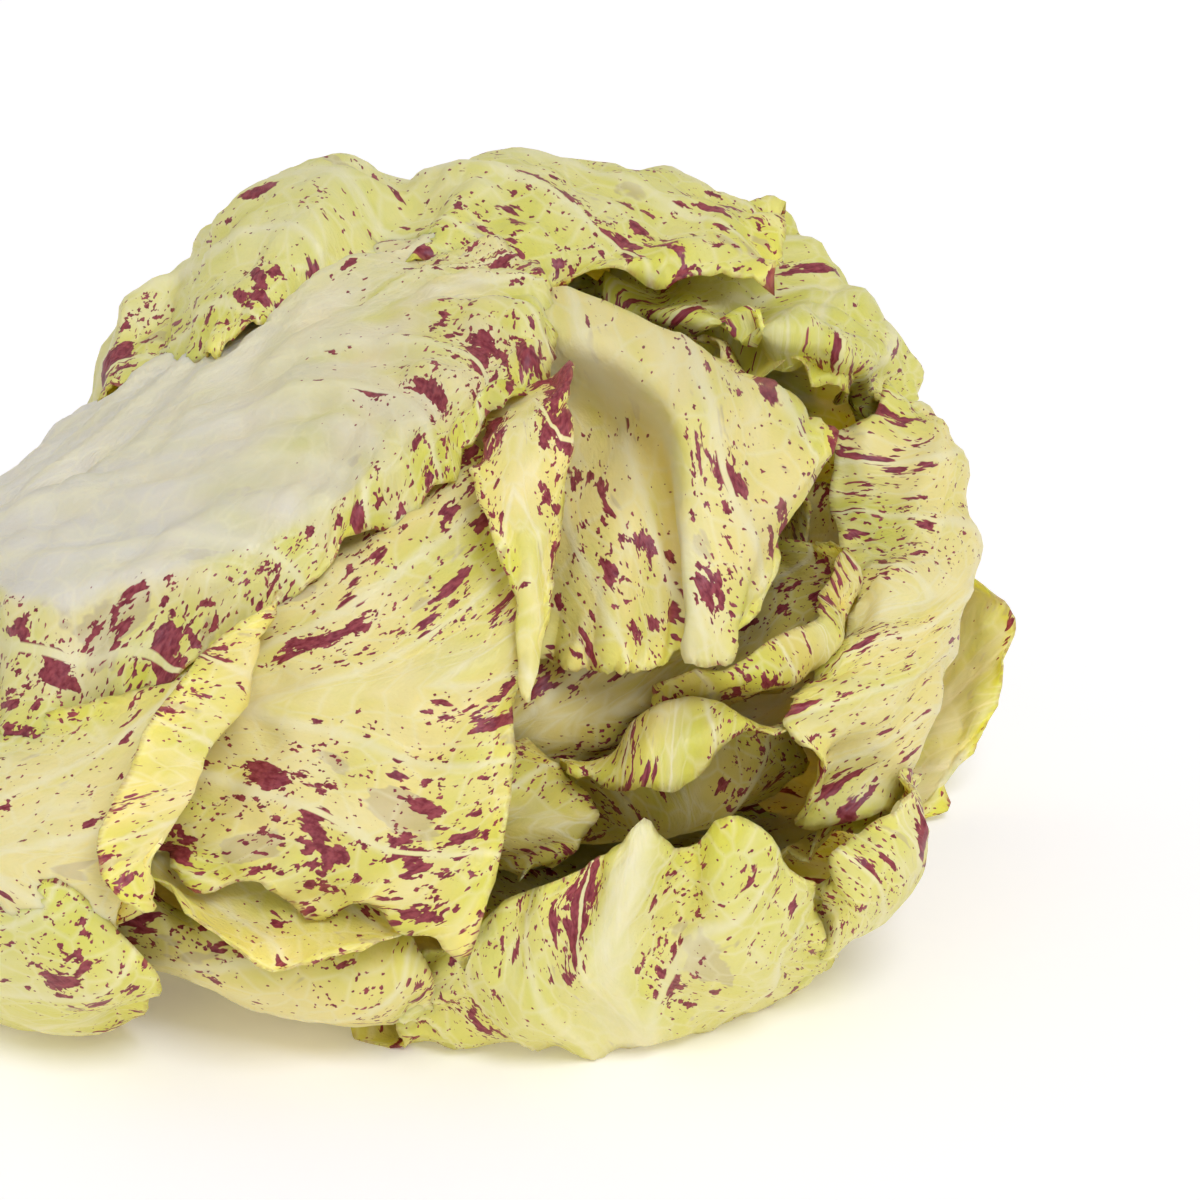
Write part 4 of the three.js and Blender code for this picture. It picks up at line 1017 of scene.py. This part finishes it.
def leaf_finish(name, blade_colour, rib_colour, colours):
    """Raw chicory leaf: thin wet tissue under a waxy skin.

    Light goes into it and out at the other side, so its shade is warm, and the skin gives a soft
    satin gloss. The ribs hold no pigment. Wine-red cells lie in flecks and streaks along the veins.
    """
    material, tree = blank(name)
    vein = put(tree, "Attribute", {}, attribute_name=VEIN_PLACE).outputs["Vector"]
    tint = put(tree, "Attribute", {}, attribute_name=TINT).outputs["Vector"]
    lie = put(tree, "Attribute", {}, attribute_name=LIE).outputs["Vector"]
    white, green, wine = put(tree, "SeparateXYZ", {0: tint}).outputs
    margin, _, stain = put(tree, "SeparateXYZ", {0: lie}).outputs
    across = put(tree, "SeparateXYZ", {0: vein})

    # side veins, thinner towards the margin
    from_vein = put(tree, "Math", {0: across, 1: VEIN_SPACING / 2}, operation="PINGPONG")
    widths = {"Value": margin, "From Max": 45.0, "To Min": 0.7, "To Max": 2.6}
    vein_width = put(tree, "MapRange", widths)
    fall = {"Value": from_vein, "From Min": vein_width, "From Max": 0.0}
    side_vein = put(tree, "MapRange", fall, interpolation_type="SMOOTHSTEP")

    # the net of small veins
    cell = put(tree, "VectorMath", {0: vein, 1: NET_CELLS}, operation="MULTIPLY")
    net_distance = put(tree, "TexVoronoi", {"Vector": cell, "Scale": 1.0}, feature="DISTANCE_TO_EDGE")
    small_vein = put(tree, "MapRange", {"Value": net_distance, "From Min": 0.1, "From Max": 0.0})

    # marks, which stop at the side veins
    streaks, flecks, dots = (marks_of(tree, vein, wine, mark) for mark in (STREAKS, FLECKS, DOTS))
    largest = put(tree, "Math", {0: streaks, 1: flecks}, operation="MAXIMUM")
    largest = put(tree, "Math", {0: largest, 1: dots}, operation="MAXIMUM")
    open_blade = put(tree, "MapRange", {"Value": side_vein, "From Min": 0.85, "From Max": 0.7})
    marked = put(tree, "Math", {0: largest, 1: open_blade}, operation="MULTIPLY")
    taupe = marks_of(tree, vein, stain, TAUPE)
    faint_taupe = put(tree, "Math", {0: taupe, 1: 0.5}, operation="MULTIPLY")

    # mottled strength inside a mark
    fine = put(tree, "VectorMath", {0: vein, 1: SKIN_GRAIN}, operation="MULTIPLY")
    mottle = put(tree, "TexNoise", {"Vector": fine, "Scale": 1.0, "Detail": 2.0})
    mottle = put(tree, "MapRange", {"Value": mottle, "From Min": 0.35, "From Max": 0.7})
    inks = {0: mottle, 6: rgba(colours.wine), 7: rgba(colours.rose)}
    ink = put(tree, "Mix", inks, data_type="RGBA").outputs[2]

    # what lies over the blade's colour, in order; a margin browns where it has dried
    vein_share = put(tree, "Math", {0: side_vein, 1: 0.5}, operation="MULTIPLY")
    net_share = put(tree, "Math", {0: small_vein, 1: 0.3}, operation="MULTIPLY")
    edge = {"Value": margin, "From Min": 0.9, "From Max": 0.1, "To Max": 0.6}
    browned = put(tree, "MapRange", edge)
    browned = put(tree, "Math", {0: browned, 1: mottle}, operation="MULTIPLY")
    colour = rgba(blade_colour)
    for share, over in (
        (green, rgba(colours.hem)),
        (faint_taupe, rgba(colours.taupe)),
        (white, rgba(rib_colour)),
        (vein_share, rgba(colours.rib)),
        (net_share, rgba(colours.rib)),
        (marked, ink),
        (browned, rgba(colours.rust)),
    ):
        colour = put(tree, "Mix", {0: share, 6: colour, 7: over}, data_type="RGBA").outputs[2]

    # relief too fine for the mesh
    cells = put(tree, "TexNoise", {"Vector": fine, "Scale": 1.0, "Detail": 3.0})
    bump = put(tree, "Bump", {"Strength": 0.5, "Distance": 0.4 * MM, "Height": cells})
    skin = {
        "Base Color": colour,
        "Roughness": 0.42,
        "IOR": 1.42,
        "Subsurface Weight": 0.65,
        "Subsurface Radius": (1.0, 0.72, 0.25),
        "Subsurface Scale": 2.6 * MM,
        "Normal": bump,
    }
    skin = put(tree, "BsdfPrincipled", skin, subsurface_method="BURLEY")
    put(tree, "OutputMaterial", {"Surface": skin})
    return material


def stump_finish(colours):
    """Cut chicory stump: cream flesh, wet when cut, with a ring of bundles and edges that brown."""
    material, tree = blank("Cut chicory stump")
    place = put(tree, "Attribute", {}, attribute_name=STUMP_PLACE).outputs["Vector"]
    radius = put(tree, "SeparateXYZ", {0: place})
    solid = put(tree, "TexCoord", {}).outputs["Object"]
    fibre = put(tree, "TexNoise", {"Vector": solid, "Scale": 420.0, "Detail": 4.0})  # 2.4 mm wide
    ring = put(tree, "Math", {0: radius, 1: -BUNDLE_RING}, operation="ADD")
    ring = put(tree, "Math", {0: ring}, operation="ABSOLUTE")
    near_ring = {"Value": ring, "From Min": 1.2, "From Max": 0.3, "To Max": 0.55}
    ring = put(tree, "MapRange", near_ring)
    near_edge = {"Value": radius, "From Min": 11.0, "From Max": 14.5, "To Max": 0.8}
    edge = put(tree, "MapRange", near_edge)
    browned = put(tree, "Math", {0: ring, 1: edge}, operation="MAXIMUM")
    browned = put(tree, "Math", {0: browned, 1: fibre}, operation="MULTIPLY")
    tints = {0: browned, 6: rgba(colours.cut), 7: rgba(colours.rust)}
    colour = put(tree, "Mix", tints, data_type="RGBA").outputs[2]
    bump = put(tree, "Bump", {"Strength": 0.4, "Distance": 0.4 * MM, "Height": fibre})
    flesh = {
        "Base Color": colour,
        "Roughness": 0.55,
        "IOR": 1.4,
        "Subsurface Weight": 0.3,
        "Subsurface Radius": (1.0, 0.7, 0.4),
        "Subsurface Scale": 2 * MM,
        "Normal": bump,
    }
    flesh = put(tree, "BsdfPrincipled", flesh, subsurface_method="BURLEY")
    put(tree, "OutputMaterial", {"Surface": flesh})
    return material


def paper_finish(colour):
    """Matt seamless studio paper, pressed smooth, so only a faint felt of about 1 mm shows.

    It glows a little and warmly of itself, a painted glow since paper is no lamp, which lifts and warms the
    shadows round the head and lights the leaves from below.
    """
    material, tree = blank("Seamless paper")
    felt = put(tree, "TexNoise", {"Scale": 900.0, "Detail": 2.0})
    bump = put(tree, "Bump", {"Strength": 0.05, "Distance": 0.1 * MM, "Height": felt})
    paper = {
        "Base Color": rgba(colour),
        "Roughness": 0.9,
        "Normal": bump,
        # painted glow: a faint warm emission that lightens the paper's shadows and also lights the head
        # from below
        "Emission Color": (1, 0.89, 0.74, 1),
        "Emission Strength": 0.18,
    }
    paper = put(tree, "BsdfPrincipled", paper)
    put(tree, "OutputMaterial", {"Surface": paper})
    return material


# for each tone: the finish's name, its slot and the colour of what holds no pigment
LEAF_FINISHES = {
    "yellow": ("Radicchio leaf, yellow blade", "yellow_leaf", "rib"),
    "pale": ("Radicchio leaf, cream blade", "pale_leaf", "white"),
    "green": ("Radicchio leaf, green blade", "green_leaf", "rib"),
    # the golden finish is a blade colour darkened as painted shade of the crown's hollows
    "golden": ("Radicchio leaf, golden blade in painted shade", "yellow_leaf", "rib"),
}


def finish_of(tone, colours):
    """The leaf finish of one tone, made once."""
    name, slot, rib = LEAF_FINISHES[tone]
    known = bpy.data.materials.get(name)
    return known or leaf_finish(name, getattr(colours, tone), getattr(colours, rib), colours), slot


def grow_leaves(context, seats):
    """Build the leaves that start from the given rings."""
    shape = context.scene.radicchio_shape
    for index, leaf in enumerate(LEAVES):
        if leaf.seat in seats:
            piece = closed_sheet(f"{leaf.name}_blade", [lay_blade(rows_of(leaf), leaf, index, shape)])
            material, slot = finish_of(leaf.tone, context.scene.radicchio_colours)
            place_piece(piece, leaf.name, material)


# ---------------------------------------------------------------- operators
class RADICCHIO_OT_stump(bpy.types.Operator):
    """Build the cut stump that every leaf grows from"""

    bl_idname = "radicchio.stump"
    bl_label = "Cut stump"

    def execute(self, context):
        points, faces, places = stump_mesh()
        mesh = bpy.data.meshes.new("cut_stump")
        mesh.from_pydata(points, [], faces)
        place = mesh.attributes.new(STUMP_PLACE, "FLOAT_VECTOR", "POINT")
        place.data.foreach_set("vector", np.array(places, np.float32).ravel())
        mesh.shade_smooth()
        piece = add_object("cut_stump", mesh)
        place_piece(piece, "stump", stump_finish(context.scene.radicchio_colours))
        return {"FINISHED"}


class RADICCHIO_OT_outer_leaves(bpy.types.Operator):
    """Build the large leaves that wrap the head"""

    bl_idname = "radicchio.outer_leaves"
    bl_label = "Outer leaves"

    def execute(self, context):
        grow_leaves(context, (WRAPPER_SEAT, OUTER_SEAT))
        return {"FINISHED"}


class RADICCHIO_OT_middle_leaves(bpy.types.Operator):
    """Build the leaves between the wrapping leaves and the heart"""

    bl_idname = "radicchio.middle_leaves"
    bl_label = "Middle leaves"

    def execute(self, context):
        grow_leaves(context, (MIDDLE_SEAT,))
        return {"FINISHED"}


class RADICCHIO_OT_inner_leaves(bpy.types.Operator):
    """Build the folded leaves that show in the open crown"""

    bl_idname = "radicchio.inner_leaves"
    bl_label = "Inner leaves"

    def execute(self, context):
        grow_leaves(context, (INNER_SEAT,))
        return {"FINISHED"}


class RADICCHIO_OT_heart(bpy.types.Operator):
    """Build the small cupped leaves of the heart"""

    bl_idname = "radicchio.heart"
    bl_label = "Heart"

    def execute(self, context):
        shape = context.scene.radicchio_shape
        blades = [
            lay_blade(heart_rows(k), HEART_LOOKS, HEART_INDEX + k, shape, rib=HEART_RIB, phase=k)
            for k in range(HEART_LEAVES)
        ]
        piece = closed_sheet("heart_blades", blades)
        material, slot = finish_of(HEART_LOOKS.tone, context.scene.radicchio_colours)
        place_piece(piece, "heart", material)
        return {"FINISHED"}


KEY_TURN = math.radians(42)
KEY_TILT = math.radians(50)
KEY_SOFTNESS = math.radians(25)
KEY_TINT = (0.95, 0.98, 1.2)  # daylight, a little blue
FILL_TINT = (1, 0.985, 0.96, 1)  # light that the warm paper throws back
FLOOR_HALF = 2.5  # in metres, so that its edge is out of sight
FLOOR_GAP = 0.05 * MM  # below the head, so that the two don't flicker
VIEW_END = 20  # in metres


class RADICCHIO_OT_studio(bpy.types.Operator):
    """Lay the paper floor, hang the soft lights and set up the camera"""

    bl_idname = "radicchio.studio"
    bl_label = "Studio"

    def execute(self, context):
        studio = context.scene.radicchio_studio
        mesh = bpy.data.meshes.new("paper_floor")
        corners = [(FLOOR_HALF * x, FLOOR_HALF * y, 0) for x, y in ((-1, -1), (1, -1), (1, 1), (-1, 1))]
        mesh.from_pydata(corners, [], [(0, 1, 2, 3)])
        mesh.materials.append(paper_finish(studio.floor))
        floor = add_object("paper_floor", mesh)
        floor.location.z = -FLOOR_GAP

        world = bpy.data.worlds.new("White studio")
        world.use_nodes = True
        world.node_tree.nodes["Background"].inputs["Color"].default_value = FILL_TINT
        world.node_tree.nodes["Background"].inputs["Strength"].default_value = studio.sky
        context.scene.world = world

        # a broad soft light from the front and the right
        lamp = bpy.data.lights.new("Soft key", "SUN")
        lamp.angle = KEY_SOFTNESS
        lamp.energy = studio.key
        lamp.color = KEY_TINT
        key = add_object("Soft key", lamp)
        key.rotation_euler = Vector(heading(KEY_TURN, KEY_TILT)).to_track_quat("Z", "Y").to_euler()

        camera = bpy.data.cameras.new("Camera")
        camera.sensor_width = 36
        camera.lens = camera.sensor_width * EYE_DISTANCE / EASEL_WIDTH
        camera.clip_end = VIEW_END
        eye = add_object("Camera", camera)
        towards = Vector(EASEL_TOWARDS)
        eye.location = Vector(EASEL_CENTRE * MM) + towards * EYE_DISTANCE * MM
        eye.rotation_euler = towards.to_track_quat("Z", "Y").to_euler()
        context.scene.camera = eye
        context.scene.view_settings.view_transform = "Standard"
        return {"FINISHED"}


STEPS = (
    RADICCHIO_OT_studio,
    RADICCHIO_OT_stump,
    RADICCHIO_OT_outer_leaves,
    RADICCHIO_OT_middle_leaves,
    RADICCHIO_OT_inner_leaves,
    RADICCHIO_OT_heart,
)


class RADICCHIO_PT_head(bpy.types.Panel):
    """Sidebar panel with the head's sizes, colours and steps"""

    bl_label = "Radicchio head"
    bl_space_type = "VIEW_3D"
    bl_region_type = "UI"
    bl_category = "Radicchio"

    def draw(self, context):
        for owner in (
            context.scene.radicchio_shape,
            context.scene.radicchio_colours,
            context.scene.radicchio_studio,
        ):
            box = self.layout.box()
            for name in owner.__annotations__:
                box.prop(owner, name)
        for step in STEPS:
            self.layout.operator(step.bl_idname)


GROUPS = {
    "radicchio_shape": RadicchioShape,
    "radicchio_colours": RadicchioColours,
    "radicchio_studio": RadicchioStudio,
}


def register():
    for cls in (*GROUPS.values(), *STEPS, RADICCHIO_PT_head):
        bpy.utils.register_class(cls)
    for name, group in GROUPS.items():
        setattr(bpy.types.Scene, name, bpy.props.PointerProperty(type=group))


def unregister():
    for name in GROUPS:
        delattr(bpy.types.Scene, name)
    for cls in reversed((*GROUPS.values(), *STEPS, RADICCHIO_PT_head)):
        bpy.utils.unregister_class(cls)


def main():
    register()
    for step in STEPS:
        family, action = step.bl_idname.split(".")
        getattr(getattr(bpy.ops, family), action)()


if __name__ == "__main__":
    main()
